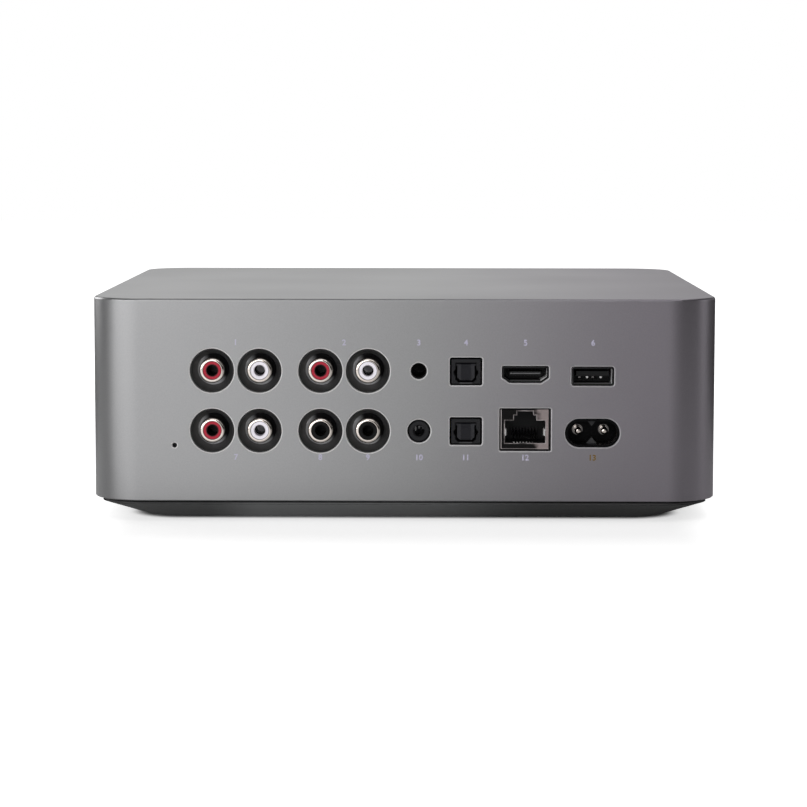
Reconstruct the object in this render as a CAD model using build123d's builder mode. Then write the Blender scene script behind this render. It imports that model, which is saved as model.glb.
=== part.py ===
from build123d import *
import os

# Network music streamer, in millimetres.
# Z is up from the surface it stands on, the rear wall faces +Y, and the origin is under the middle.
# Places on the rear wall are (across, up): across runs to the right as seen from behind, so X = -across.

# Casing
width = 205.0
depth = 205.0
height = 73.4
corner_radius = 17.0
wall = 3.0
top_thickness = 4.0
wall_bottom = 7.2
top_edge_round = 0.8
bottom_edge_break = 0.3
opening_edge_break = 0.35
press_gap = 0.05
running_gap = 0.05
seat_gap = 0.2

# Base: a moulded tray with a bevelled skirt, and the rubber pad under it
seam = 1.4
skirt_inset = 15.5
skirt_foot_radius = 13.0
skirt_top_inset = 2.4
skirt_wall = 2.5
lip_height = 5.0
lip_thickness = 2.0
pad_thickness = 2.0
pad_proud = 0.15
pad_inset = 20.0
floor_thickness = 2.0

# Corner posts of the housing and the screws that hold the tray to them
post_inset = 26.5
post_radius = 4.0
post_bottom = 12.0
post_boss_radius = 5.0
thread_radius = 1.5
thread_depth = 8.0
base_screw_shank = 14.0
base_screw_head_radius = 2.9
base_screw_head_height = 2.2
base_screw_room = 0.3

# Boards
board_thickness = 1.6
main_board_top = 21.6
digital_board_top = 45.0
board_rear_gap = 1.5
board_side_gap = 10.5
main_board_front_gap = 49.5
power_board_width = 39.0
power_board_front_gap = 39.5
board_split_gap = 1.0
digital_board_left = 12.0
digital_board_right = 72.0
digital_board_depth = 78.0
post_clearance = 1.0
standoff_radius = 3.2
standoff_bore = 1.3
standoff_bore_depth = 10.0
board_hole_radius = 1.7
board_screw_inset = 4.5
board_screw_rear = 38.0
board_screw_head_radius = 2.8
board_screw_head_height = 1.6
board_screw_shank = 8.0
pillar_radius = 2.5

# Phono sockets: two blocks of two columns and two rows
rca_block_places = (-54.72, -19.43)
rca_pitch = 15.45
rca_row_low = 30.3
rca_row_pitch = 19.6
rca_hole_radius = 7.2
rca_rim_gap = 0.35
rca_cup_wall = 0.15
rca_rim_recess = 0.8
rca_cup_depth = 7.5
rca_cup_taper = 14.0
rca_block_margin = 7.9
rca_block_depth = 18.0
rca_block_corner = 1.0
rca_barrel_radius = 4.15
rca_barrel_bore = 3.1
rca_tip_recess = 0.6
rca_tip_round = 0.9
rca_root_radius = 3.8
rca_root_length = 6.0
rca_insert_recess = 0.3
rca_pin_hole_radius = 1.8
rca_pin_hole_length = 5.0
rca_contact_bore = 1.5
rca_contact_wall = 0.6
rca_contact_length = 6.0
rca_contact_slot = 0.5

# Earth socket
ground_across = 4.85
ground_up = 49.9
ground_hole_radius = 2.65
ground_nose_recess = 1.4
ground_nose_bore = 2.35
ground_body_radius = 5.0
ground_body_depth = 16.0
ground_sleeve_bore = 2.0
ground_sleeve_wall = 0.9
ground_sleeve_length = 12.0
ground_sleeve_start = 1.0

# Small round sockets: the trigger on the rear wall and the headphones on the front
trigger_across = 4.93
trigger_up = 30.26
trigger_hole_radius = 3.8
jack_nose_radius = 3.2
jack_nose_recess = 0.5
jack_bore = 1.8
jack_bore_length = 9.0
jack_lead_in = 0.3
jack_chamber = 4.6
jack_chamber_depth = 3.0
jack_body_width = 10.6
jack_body_height = 10.0
jack_body_depth = 12.0
jack_leaf_width = 0.5
jack_leaf_thickness = 0.4
jack_leaf_places = (-1.2, 0.1, 1.2)
jack_leaf_heights = (2.2, 0.9, 1.3)

# Optical sockets
optical_across = 20.2
optical_in_up = 49.8
optical_out_up = 30.3
optical_hole_width = 10.6
optical_hole_height = 9.1
optical_hole_corner = 0.7
optical_gap = 0.6
optical_nose_recess = 0.4
optical_mouth_width = 6.7
optical_mouth_height = 6.3
optical_mouth_drop = 0.4
optical_notch_width = 7.9
optical_notch_top = 1.1
optical_notch_bottom = 1.3
optical_notch_flat = 0.6
optical_mouth_chamfer = 0.9
optical_edge_break = 0.2
optical_mouth_depth = 9.0
optical_body_depth = 12.0
shutter_gap = 0.55
shutter_thickness = 0.7
shutter_recess = 1.2
shutter_axle_radius = 0.35
shutter_axle_grip = 0.5
shutter_top_room = 0.35
shutter_panel_width = 3.2
shutter_panel_rise = 0.25

# HDMI socket
hdmi_across = 39.5
hdmi_up = 48.85
hdmi_hole_width = 15.3
hdmi_hole_height = 5.6
hdmi_side_height = 3.9
hdmi_foot_width = 10.4
hdmi_hole_corner = 0.6
shell_gap = 0.3
shell_thickness = 0.4
shell_recess = 0.4
shell_length = 12.0
tongue_recess = 1.8
tongue_base = 2.5
hdmi_tongue_width = 10.2
hdmi_tongue_thickness = 1.3
hdmi_tongue_rise = 0.2

# USB socket
usb_across = 61.4
usb_up = 48.3
usb_hole_width = 13.9
usb_hole_height = 6.3
usb_hole_corner = 0.9
usb_tongue_width = 10.6
usb_tongue_thickness = 1.6
usb_tongue_rise = 0.7

# Network socket
lan_across = 39.5
lan_up = 30.8
lan_hole_width = 16.8
lan_hole_height = 14.0
lan_hole_corner = 0.5
lan_gap = 0.4
lan_shell_length = 20.0
lan_mouth_width = 13.2
lan_mouth_height = 7.4
lan_mouth_up = 0.15
lan_step_width = 7.3
lan_step_height = 1.7
lan_latch_width = 5.2
lan_latch_height = 1.3
lan_mouth_depth = 13.0
lan_contact_count = 8
lan_contact_pitch = 1.02
lan_contact_width = 0.4
lan_contact_start = 1.5
lan_contact_foot = 1.0
lan_contact_rise = 2.6
lan_contact_tail = 0.6

# Mains inlet
inlet_across = 61.4
inlet_up = 29.75
inlet_hole_width = 17.85
inlet_hole_height = 9.45
inlet_gap = 0.15
inlet_nose_recess = 0.3
inlet_wall = 0.7
inlet_cavity_depth = 12.6
inlet_ridge_depth = 5.0
inlet_ridge_width = 3.4
inlet_ridge_height = 2.1
inlet_back = 2.4
inlet_body_side = 1.0
inlet_pin_pitch = 8.6
inlet_pin_radius = 1.18
inlet_pin_recess = 6.0
inlet_pin_round = 0.8
inlet_collar_radius = 1.75
inlet_collar_height = 0.8

# Reset switch behind its pinhole
reset_across = -74.75
reset_up = 25.5
reset_hole_radius = 0.8
reset_room = 0.5
reset_plunger_radius = 1.3
reset_plunger_length = 3.2
reset_plunger_proud = 1.6
reset_travel_room = 0.45
reset_body_width = 6.0
reset_body_depth = 3.6

# Display on the front
display_width = 86.0
display_edge_gap = 6.8
display_corner = 4.0
display_glass_gap = 0.15
display_glass_recess = 0.15
display_overlap = 3.0
display_panel_thickness = 3.4
display_bracket_thickness = 1.2
display_bracket_margin = 5.0
display_window_margin = 12.0
display_boss_radius = 2.6
display_boss_outset = 3.4
display_thread_radius = 1.1
display_screw_head_radius = 2.1
display_screw_head_height = 1.2
display_screw_shank = 4.0

# Volume knob on its encoder
knob_inset = 32.5
knob_radius = 15.0
knob_depth = 13.0
knob_gap = 0.9
knob_edge_round = 0.8
knob_hollow_radius = 9.0
knob_hollow_depth = 4.0
knob_skin = 3.0
shaft_radius = 3.0
shaft_flat = 1.0
shaft_flat_lead = 0.7
bush_radius = 4.4
bush_wall_gap = 0.15
bush_length = 6.0
encoder_width = 13.0
encoder_depth = 7.0
encoder_front_wall = 1.2
encoder_back_wall = 1.0
rotor_radius = 5.0
rotor_length = 3.6
push_room = 0.8
nut_across_flats = 12.0
nut_thickness = 2.0

# Headphone socket on the front
headphone_inset = 32.5
headphone_drop = 16.2
headphone_hole_gap = 0.15

# Board behind the front wall, and its flat cable
front_board_side_gap = 15.5
front_board_low = 17.0
front_board_top_gap = 7.0
ribbon_width = 26.0
ribbon_thickness = 0.6
ribbon_up = 31.0
ribbon_reach = 12.0
ribbon_landing = 14.0
ribbon_radius = 5.0

# Parts on the boards
processor_place_shares = (0.57, 0.44)
processor_width = 46.0
processor_height = 5.0
heat_sink_width = 40.0
heat_sink_base = 3.0
heat_sink_height = 20.0
heat_sink_fins = 7
fin_share = 0.45
wireless_place_shares = (0.37, 0.46)
wireless_width = 26.0
wireless_depth = 22.0
wireless_height = 3.2
transformer_place_share = 0.215
transformer_width = 24.0
transformer_depth = 40.0
transformer_height = 19.0
transformer_core_share = 0.45
transformer_winding_share = 0.8
capacitor_radius = 7.5
capacitor_height = 18.0
capacitor_pitch = 17.0
capacitor_place_share = 0.52
capacitor_count = 2
antenna_length = 70.0
antenna_width = 12.0
antenna_thickness = 1.0
antenna_inset = 24.5

# Places that follow from these sizes
rear = depth / 2
front = -depth / 2
post_span_x = width - 2 * post_inset
post_span_y = depth - 2 * post_inset
inner_width = width - 2 * wall
inner_depth = depth - 2 * wall
inner_radius = corner_radius - wall
skirt_bottom = pad_proud
skirt_top = wall_bottom - seam
pad_top = pad_thickness
floor_top = pad_top + floor_thickness
ceiling = height - top_thickness
screw_seat = pad_top + base_screw_room + base_screw_head_height
main_board_bottom = main_board_top - board_thickness
digital_board_bottom = digital_board_top - board_thickness
board_rear = rear - wall - board_rear_gap
board_right = width / 2 - wall - board_side_gap
power_board_split = -board_right + power_board_width
main_board_front = front + wall + main_board_front_gap
power_board_front = front + wall + power_board_front_gap
main_board_depth = board_rear - main_board_front
power_board_depth = board_rear - power_board_front
main_board_left = power_board_split + board_split_gap
main_board_width = board_right - main_board_left
rca_cup_radius = rca_hole_radius - rca_rim_gap - rca_cup_wall
rca_insert_face = rca_tip_recess + rca_insert_recess
rca_contact_radius = rca_contact_bore + rca_contact_wall
display_up = (wall_bottom + height) / 2
display_height = height - wall_bottom - 2 * display_edge_gap
knob_x = width / 2 - knob_inset
knob_up = display_up
headphone_x = headphone_inset - width / 2
headphone_up = display_up - headphone_drop
front_board_width = inner_width - 2 * front_board_side_gap
front_board_high = ceiling - front_board_top_gap
front_board_back = front + wall + encoder_depth + board_thickness
digital_width = digital_board_right - digital_board_left
digital_middle = -(digital_board_right + digital_board_left) / 2
digital_front = board_rear - digital_board_depth
processor_x = main_board_left + processor_place_shares[0] * main_board_width
processor_y = main_board_front + processor_place_shares[1] * main_board_depth
wireless_x = -digital_board_left - wireless_place_shares[0] * digital_width
wireless_y = digital_front + wireless_place_shares[1] * digital_board_depth
power_middle = power_board_split - power_board_width / 2
transformer_y = power_board_front + transformer_place_share * power_board_depth
capacitor_y = power_board_front + capacitor_place_share * power_board_depth
antenna_y = front + antenna_inset

os.makedirs("parts", exist_ok=True)


def save(builder, name):
    """Label a finished piece and write it to its own file."""
    builder.part.label = name
    export_step(builder.part, f"parts/{name}.step")


def rear_at(inset):
    """Plane of the rear wall's outer face, moved inwards; its x runs to the right as seen from behind."""
    return Plane(origin=(0, rear - inset, 0), x_dir=(-1, 0, 0), z_dir=(0, 1, 0))


def front_at(inset):
    """Plane of the front wall's outer face, moved inwards; its x runs to the right as seen from the front."""
    return Plane(origin=(0, front + inset, 0), x_dir=(1, 0, 0), z_dir=(0, -1, 0))


def rca_places(block):
    """The four socket centres of a phono block, as (across, up)."""
    return [
        (block + side * rca_pitch / 2, rca_row_low + row * rca_row_pitch)
        for row in (1, 0)
        for side in (-1, 1)
    ]


def hdmi_outline(shrink):
    """A rectangle with rounded corners whose lower corners are cut away, shrunk evenly on all sides."""
    half = hdmi_hole_width / 2
    foot = hdmi_foot_width / 2
    low = hdmi_up - hdmi_hole_height / 2
    high = hdmi_up + hdmi_hole_height / 2
    knee = high - hdmi_side_height
    with BuildSketch(mode=Mode.PRIVATE) as outline:
        with BuildLine():
            Polyline(
                (hdmi_across - half, high),
                (hdmi_across - half, knee),
                (hdmi_across - foot, low),
                (hdmi_across + foot, low),
                (hdmi_across + half, knee),
                (hdmi_across + half, high),
                close=True,
            )
        make_face()
        fillet(outline.vertices(), hdmi_hole_corner)
        if shrink > 0:
            offset(amount=-shrink, mode=Mode.REPLACE)
    return outline.sketch


def lan_mouth():
    """The stepped opening for the network plug, with its latch slot on top."""
    low = lan_up + lan_mouth_up - lan_mouth_height / 2 - lan_step_height / 2
    with Locations((lan_across, low + lan_mouth_height / 2)):
        Rectangle(lan_mouth_width, lan_mouth_height)
    step = low + lan_mouth_height
    with Locations((lan_across, step + lan_step_height / 2)):
        Rectangle(lan_step_width, lan_step_height)
    with Locations((lan_across, step + lan_step_height + lan_latch_height / 2)):
        Rectangle(lan_latch_width, lan_latch_height)


def optical_mouth(up, shrink):
    """The optical plug's outline: keyed by a notch on each side and two cut lower corners."""
    half = optical_mouth_width / 2
    top = up - optical_mouth_drop + optical_mouth_height / 2
    bottom = top - optical_mouth_height
    notch = optical_notch_width / 2
    middle = up - optical_mouth_drop
    flat = optical_notch_flat / 2
    left_side = [
        (-half, top),
        (-half, middle + optical_notch_top),
        (-notch, middle + flat),
        (-notch, middle - flat),
        (-half, middle - optical_notch_bottom),
        (-half, bottom + optical_mouth_chamfer),
        (-half + optical_mouth_chamfer, bottom),
    ]
    right_side = [(-across, level) for across, level in reversed(left_side)]
    with BuildSketch(mode=Mode.PRIVATE) as outline:
        with BuildLine():
            Polyline(*[(optical_across + a, level) for a, level in left_side + right_side], close=True)
        make_face()
        if shrink > 0:
            offset(amount=-shrink, kind=Kind.INTERSECTION, mode=Mode.REPLACE)
    return outline.sketch


# Casing: in reality one aluminium shell. Its flat rear and front walls are nodes of their own, flush with
# the rest, and the rear one is cut between the optical and the data sockets, so that their openings stay
# open in the collision model.
flat_half = width / 2 - corner_radius
rear_wall_cut = (optical_across + optical_hole_width / 2 + lan_across - lan_hole_width / 2) / 2
with BuildPart() as housing:
    with BuildSketch(Plane.XY.offset(wall_bottom)):
        RectangleRounded(width, depth, corner_radius)
    extrude(amount=height - wall_bottom)
    fillet(housing.faces().sort_by(Axis.Z)[-1].edges(), top_edge_round)
    chamfer(housing.faces().sort_by(Axis.Z)[0].edges(), bottom_edge_break)
    with BuildSketch(Plane.XY.offset(wall_bottom)):
        RectangleRounded(inner_width, inner_depth, inner_radius)
        Rectangle(2 * flat_half, depth)
    extrude(amount=ceiling - wall_bottom, mode=Mode.SUBTRACT)
    with BuildSketch(Plane.XY.offset(post_bottom)):
        with GridLocations(post_span_x, post_span_y, 2, 2):
            Circle(post_radius)
    extrude(amount=ceiling - post_bottom)
    with BuildSketch(Plane.XY.offset(post_bottom)):
        with GridLocations(post_span_x, post_span_y, 2, 2):
            Circle(thread_radius)
    extrude(amount=thread_depth, mode=Mode.SUBTRACT)
save(housing, "housing")

with BuildPart() as rear_wall:
    with BuildSketch(rear_at(wall)):
        with Locations((0, (wall_bottom + ceiling) / 2)):
            Rectangle(2 * flat_half, ceiling - wall_bottom)
    extrude(amount=wall)
    chamfer(rear_wall.edges().filter_by(Axis.X).group_by(Axis.Z)[0].sort_by(Axis.Y)[-1], bottom_edge_break)
    with BuildSketch(rear_at(wall)):
        with Locations(*rca_places(rca_block_places[0]), *rca_places(rca_block_places[1])):
            Circle(rca_hole_radius)
        with Locations((ground_across, ground_up)):
            Circle(ground_hole_radius)
        with Locations((trigger_across, trigger_up)):
            Circle(trigger_hole_radius)
        with Locations((reset_across, reset_up)):
            Circle(reset_hole_radius)
        with Locations((optical_across, optical_in_up), (optical_across, optical_out_up)):
            RectangleRounded(optical_hole_width, optical_hole_height, optical_hole_corner)
        add(hdmi_outline(0))
        with Locations((usb_across, usb_up)):
            RectangleRounded(usb_hole_width, usb_hole_height, usb_hole_corner)
        with Locations((lan_across, lan_up)):
            RectangleRounded(lan_hole_width, lan_hole_height, lan_hole_corner)
        with Locations((inlet_across, inlet_up)):
            SlotOverall(inlet_hole_width, inlet_hole_height)
    extrude(amount=wall, mode=Mode.SUBTRACT)
    rear_openings = rear_wall.faces().sort_by(Axis.Y)[-1].inner_wires().edges()
    chamfer(rear_openings, opening_edge_break)

for rear_wall_name, kept_side in (("rear_wall_audio", Keep.TOP), ("rear_wall_data", Keep.BOTTOM)):
    with BuildPart() as rear_wall_half:
        add(rear_wall.part)
        split(bisect_by=Plane(origin=(-rear_wall_cut, 0, 0), z_dir=(1, 0, 0)), keep=kept_side)
    save(rear_wall_half, rear_wall_name)

boss_spacing_x = display_width + 2 * (display_overlap + display_boss_outset)
boss_spacing_z = display_height - 2 * display_boss_outset
with BuildPart() as front_wall:
    with BuildSketch(front_at(wall)):
        with Locations((0, (wall_bottom + ceiling) / 2)):
            Rectangle(2 * flat_half, ceiling - wall_bottom)
    extrude(amount=wall)
    chamfer(front_wall.edges().filter_by(Axis.X).group_by(Axis.Z)[0].sort_by(Axis.Y)[0], bottom_edge_break)
    with BuildSketch(front_at(wall)):
        with Locations((0, display_up)):
            RectangleRounded(display_width, display_height, display_corner)
        with Locations((knob_x, knob_up)):
            Circle(bush_radius + bush_wall_gap)
        with Locations((headphone_x, headphone_up)):
            Circle(jack_nose_radius + headphone_hole_gap)
    extrude(amount=wall, mode=Mode.SUBTRACT)
    with BuildSketch(front_at(wall)):
        with Locations((0, display_up)):
            with GridLocations(boss_spacing_x, boss_spacing_z, 2, 2):
                Circle(display_boss_radius)
                Circle(display_thread_radius, mode=Mode.SUBTRACT)
    extrude(amount=-display_panel_thickness)
save(front_wall, "front_wall")

# Base tray: the skirt narrows towards the floor, and a lip stands up inside the walls
skirt_slope = (skirt_inset - skirt_top_inset) / (skirt_top - skirt_bottom)
floor_inset = skirt_inset - skirt_slope * (floor_top - skirt_bottom) + skirt_wall
floor_radius = skirt_foot_radius - skirt_wall
lip_inset = wall + seat_gap
board_screw_places_main = [
    (x, y)
    for x in (main_board_left + board_screw_inset, board_right - board_screw_inset)
    for y in (main_board_front + board_screw_inset, board_rear - board_screw_rear)
]
board_screw_places_power = [
    (x, y)
    for x in (-board_right + board_screw_inset, power_board_split - board_screw_inset)
    for y in (power_board_front + board_screw_inset, board_rear - board_screw_rear)
]
board_screw_places = board_screw_places_main + board_screw_places_power
with BuildPart() as base_tray:
    with BuildSketch(Plane.XY.offset(skirt_bottom)):
        RectangleRounded(width - 2 * skirt_inset, depth - 2 * skirt_inset, skirt_foot_radius)
    with BuildSketch(Plane.XY.offset(skirt_top)):
        RectangleRounded(
            width - 2 * skirt_top_inset, depth - 2 * skirt_top_inset, corner_radius - skirt_top_inset
        )
    loft()
    with BuildSketch(Plane.XY.offset(skirt_top)):
        RectangleRounded(width - 2 * lip_inset, depth - 2 * lip_inset, corner_radius - lip_inset)
    extrude(amount=lip_height)
    inside = lip_inset + lip_thickness
    with BuildSketch(Plane.XY.offset(floor_top)):
        RectangleRounded(width - 2 * floor_inset, depth - 2 * floor_inset, floor_radius)
    with BuildSketch(Plane.XY.offset(skirt_top)):
        RectangleRounded(width - 2 * inside, depth - 2 * inside, corner_radius - inside)
    loft(mode=Mode.SUBTRACT)
    with BuildSketch(Plane.XY.offset(skirt_top)):
        RectangleRounded(width - 2 * inside, depth - 2 * inside, corner_radius - inside)
    extrude(amount=lip_height, mode=Mode.SUBTRACT)
    with BuildSketch(Plane.XY.offset(skirt_bottom)):
        RectangleRounded(
            width - 2 * pad_inset + 2 * seat_gap,
            depth - 2 * pad_inset + 2 * seat_gap,
            skirt_foot_radius - (pad_inset - skirt_inset) + seat_gap,
        )
    extrude(amount=pad_top - skirt_bottom, mode=Mode.SUBTRACT)
    with BuildSketch(Plane.XY.offset(floor_top)):
        with GridLocations(post_span_x, post_span_y, 2, 2):
            Circle(post_boss_radius)
    extrude(amount=post_bottom - floor_top)
    with BuildSketch(Plane.XY.offset(pad_top)):
        with GridLocations(post_span_x, post_span_y, 2, 2):
            Circle(base_screw_head_radius + seat_gap)
    extrude(amount=screw_seat - pad_top, mode=Mode.SUBTRACT)
    with BuildSketch(Plane.XY.offset(screw_seat)):
        with GridLocations(post_span_x, post_span_y, 2, 2):
            Circle(thread_radius + seat_gap)
    extrude(amount=post_bottom - screw_seat, mode=Mode.SUBTRACT)
    with BuildSketch(Plane.XY.offset(floor_top)):
        with Locations(*board_screw_places):
            Circle(standoff_radius)
    extrude(amount=main_board_bottom - floor_top)
    with BuildSketch(Plane.XY.offset(main_board_bottom)):
        with Locations(*board_screw_places):
            Circle(standoff_bore)
    extrude(amount=-standoff_bore_depth, mode=Mode.SUBTRACT)
save(base_tray, "base_tray")

# Foot pad: one sheet of rubber let into the underside
with BuildPart() as foot_pad:
    with BuildSketch():
        RectangleRounded(
            width - 2 * pad_inset, depth - 2 * pad_inset, skirt_foot_radius - (pad_inset - skirt_inset)
        )
    extrude(amount=pad_thickness)
save(foot_pad, "foot_pad")

# Base screws: they pull the housing's posts down onto the tray's bosses
with BuildPart() as base_screws:
    with BuildSketch(Plane.XY.offset(screw_seat)):
        with GridLocations(post_span_x, post_span_y, 2, 2):
            Circle(base_screw_head_radius)
    extrude(amount=-base_screw_head_height)
    with BuildSketch(Plane.XY.offset(screw_seat)):
        with GridLocations(post_span_x, post_span_y, 2, 2):
            Circle(thread_radius - press_gap)
    extrude(amount=base_screw_shank)
save(base_screws, "base_screws")

# Main board and power board lie side by side on the tray's standoffs
with BuildPart() as main_board:
    with BuildSketch(Plane.XY.offset(main_board_bottom)):
        with Locations(((board_right + main_board_left) / 2, (board_rear + main_board_front) / 2)):
            Rectangle(main_board_width, main_board_depth)
        with Locations((post_span_x / 2, post_span_y / 2)):
            Circle(post_radius + post_clearance, mode=Mode.SUBTRACT)
        with Locations(*board_screw_places_main):
            Circle(board_hole_radius, mode=Mode.SUBTRACT)
    extrude(amount=board_thickness)
save(main_board, "main_board")

with BuildPart() as power_board:
    with BuildSketch(Plane.XY.offset(main_board_bottom)):
        with Locations((power_board_split - power_board_width / 2, (board_rear + power_board_front) / 2)):
            Rectangle(power_board_width, power_board_depth)
        with Locations((-post_span_x / 2, post_span_y / 2)):
            Circle(post_radius + post_clearance, mode=Mode.SUBTRACT)
        with Locations(*board_screw_places_power):
            Circle(board_hole_radius, mode=Mode.SUBTRACT)
    extrude(amount=board_thickness)
save(power_board, "power_board")

# Digital board above them, on pillars
pillar_places = [
    (-digital_board_left - 2 * pillar_radius, digital_front + 2 * pillar_radius),
    (main_board_left + 2 * pillar_radius, digital_front + 2 * pillar_radius),
    (-digital_board_left - 2 * pillar_radius, board_rear - rca_block_depth - 2 * pillar_radius),
    (power_board_split - 2 * pillar_radius, board_rear - rca_block_depth - 2 * pillar_radius),
]
with BuildPart() as digital_board:
    with BuildSketch(Plane.XY.offset(digital_board_bottom)):
        with Locations((digital_middle, (board_rear + digital_front) / 2)):
            Rectangle(digital_width, digital_board_depth)
        with Locations((-post_span_x / 2, post_span_y / 2)):
            Circle(post_radius + post_clearance, mode=Mode.SUBTRACT)
    extrude(amount=board_thickness)
save(digital_board, "digital_board")

with BuildPart() as digital_pillars:
    with BuildSketch(Plane.XY.offset(main_board_top)):
        with Locations(*pillar_places):
            RegularPolygon(pillar_radius, 6)
    extrude(amount=digital_board_bottom - main_board_top)
save(digital_pillars, "digital_pillars")


# Phono sockets
def make_rca_block(block):
    """Moulded block behind the wall, with a cup for each socket that narrows inwards from its hole."""
    low = main_board_top
    high = rca_row_low + rca_row_pitch + rca_block_margin
    with BuildPart() as body:
        with BuildSketch(rear_at(wall)):
            with Locations((block, (low + high) / 2)):
                RectangleRounded(rca_pitch + 2 * rca_block_margin, high - low, rca_block_corner)
        extrude(amount=-rca_block_depth)
        with BuildSketch(rear_at(wall)):
            with Locations(*rca_places(block)):
                Circle(rca_hole_radius - rca_rim_gap)
        extrude(amount=wall - rca_rim_recess)
        with BuildSketch(rear_at(rca_rim_recess)):
            with Locations(*rca_places(block)):
                Circle(rca_cup_radius)
        extrude(amount=-(rca_cup_depth - rca_rim_recess), taper=rca_cup_taper, mode=Mode.SUBTRACT)
        with BuildSketch(rear_at(rca_cup_depth)):
            with Locations(*rca_places(block)):
                Circle(rca_root_radius + press_gap)
        extrude(amount=-rca_root_length, mode=Mode.SUBTRACT)
    return body


def make_rca_barrels(block):
    """Four drawn collars: the plug's shell grips each one, and a thinner root sits in the block."""
    with BuildPart() as body:
        with BuildSketch(rear_at(rca_cup_depth)):
            with Locations(*rca_places(block)):
                Circle(rca_barrel_radius)
        extrude(amount=rca_cup_depth - rca_tip_recess)
        fillet(body.edges().group_by(Axis.Y)[-1], rca_tip_round)
        with BuildSketch(rear_at(rca_cup_depth)):
            with Locations(*rca_places(block)):
                Circle(rca_root_radius)
        extrude(amount=-rca_root_length)
        with BuildSketch(rear_at(rca_tip_recess)):
            with Locations(*rca_places(block)):
                Circle(rca_barrel_bore)
        extrude(amount=-(rca_cup_depth + rca_root_length - rca_tip_recess), mode=Mode.SUBTRACT)
    return body


def make_rca_inserts(insert_places):
    """Insulators of one colour inside their collars: the pin's hole, then a wider pocket for the contact."""
    insert_length = rca_cup_depth + rca_root_length - rca_insert_face
    with BuildPart() as body:
        with BuildSketch(rear_at(rca_insert_face)):
            with Locations(*insert_places):
                Circle(rca_barrel_bore - press_gap)
                Circle(rca_pin_hole_radius, mode=Mode.SUBTRACT)
        extrude(amount=-rca_pin_hole_length)
        with BuildSketch(rear_at(rca_insert_face + rca_pin_hole_length)):
            with Locations(*insert_places):
                Circle(rca_barrel_bore - press_gap)
                Circle(rca_contact_radius + press_gap, mode=Mode.SUBTRACT)
        extrude(amount=-rca_contact_length)
        with BuildSketch(rear_at(rca_insert_face + rca_pin_hole_length + rca_contact_length)):
            with Locations(*insert_places):
                Circle(rca_barrel_bore - press_gap)
        extrude(amount=-(insert_length - rca_pin_hole_length - rca_contact_length))
    return body


for side, block in zip(("left", "right"), rca_block_places):
    save(make_rca_block(block), f"rca_block_{side}")
    save(make_rca_barrels(block), f"rca_barrels_{side}")

left_places, right_places = (rca_places(block) for block in rca_block_places)
inserts_by_colour = {
    "red": [left_places[0], left_places[2], right_places[0]],
    "white": [left_places[1], left_places[3], right_places[1]],
    "black": right_places[2:],
}
for colour, colour_places in inserts_by_colour.items():
    save(make_rca_inserts(colour_places), f"rca_inserts_{colour}")

with BuildPart() as rca_contacts:
    with BuildSketch(rear_at(rca_insert_face + rca_pin_hole_length)):
        with Locations(*rca_places(rca_block_places[0]), *rca_places(rca_block_places[1])):
            Circle(rca_contact_radius)
            Circle(rca_contact_bore, mode=Mode.SUBTRACT)
    extrude(amount=-rca_contact_length)
    with BuildSketch(rear_at(rca_insert_face + rca_pin_hole_length)):
        for across, up in rca_places(rca_block_places[0]) + rca_places(rca_block_places[1]):
            with Locations((across, up + rca_contact_radius)):
                Rectangle(rca_contact_slot, 3 * rca_contact_wall)
    extrude(amount=-rca_contact_length, mode=Mode.SUBTRACT)
save(rca_contacts, "rca_contacts")

# Earth socket: a black body pressed into its hole, with a sleeve for a plug or a bare wire
with BuildPart() as ground_socket:
    with BuildSketch(rear_at(wall)):
        with Locations((ground_across, ground_up)):
            Circle(ground_body_radius)
    extrude(amount=-ground_body_depth)
    with BuildSketch(rear_at(wall)):
        with Locations((ground_across, ground_up)):
            Circle(ground_hole_radius - press_gap)
    extrude(amount=wall - ground_nose_recess)
    with BuildSketch(rear_at(ground_nose_recess)):
        with Locations((ground_across, ground_up)):
            Circle(ground_nose_bore)
    extrude(amount=-(wall + ground_sleeve_start - ground_nose_recess), mode=Mode.SUBTRACT)
    with BuildSketch(rear_at(wall + ground_sleeve_start)):
        with Locations((ground_across, ground_up)):
            Circle(ground_sleeve_bore + ground_sleeve_wall + press_gap)
    extrude(amount=-ground_sleeve_length, mode=Mode.SUBTRACT)
save(ground_socket, "ground_socket")

with BuildPart() as ground_contact:
    with BuildSketch(rear_at(wall + ground_sleeve_start)):
        with Locations((ground_across, ground_up)):
            Circle(ground_sleeve_bore + ground_sleeve_wall)
            Circle(ground_sleeve_bore, mode=Mode.SUBTRACT)
    extrude(amount=-ground_sleeve_length)
save(ground_contact, "ground_contact")


# Round 3.5 mm sockets
def make_jack(plane_at, place, body_low, body_high):
    """A block behind the wall with a round nose in the wall's hole, bored for the plug."""
    across, up = place
    bore_end = jack_nose_recess + jack_bore_length
    with BuildPart() as body:
        with BuildSketch(plane_at(wall)):
            with Locations((across, (body_low + body_high) / 2)):
                Rectangle(jack_body_width, body_high - body_low)
        extrude(amount=-jack_body_depth)
        with BuildSketch(plane_at(wall)):
            with Locations(place):
                Circle(jack_nose_radius)
        extrude(amount=wall - jack_nose_recess)
        with BuildSketch(plane_at(jack_nose_recess)):
            with Locations(place):
                Circle(jack_bore)
        extrude(amount=-jack_bore_length, mode=Mode.SUBTRACT)
        with BuildSketch(plane_at(jack_nose_recess)):
            with Locations(place):
                Circle(jack_bore + jack_lead_in)
        extrude(amount=-jack_lead_in, taper=45, mode=Mode.SUBTRACT)
        with BuildSketch(plane_at(bore_end)):
            with Locations(place):
                Rectangle(jack_chamber, jack_chamber)
        extrude(amount=-jack_chamber_depth, mode=Mode.SUBTRACT)
    return body


trigger_jack = make_jack(
    rear_at, (trigger_across, trigger_up), main_board_top, trigger_up + jack_body_height / 2
)
save(trigger_jack, "trigger_jack")

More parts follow.
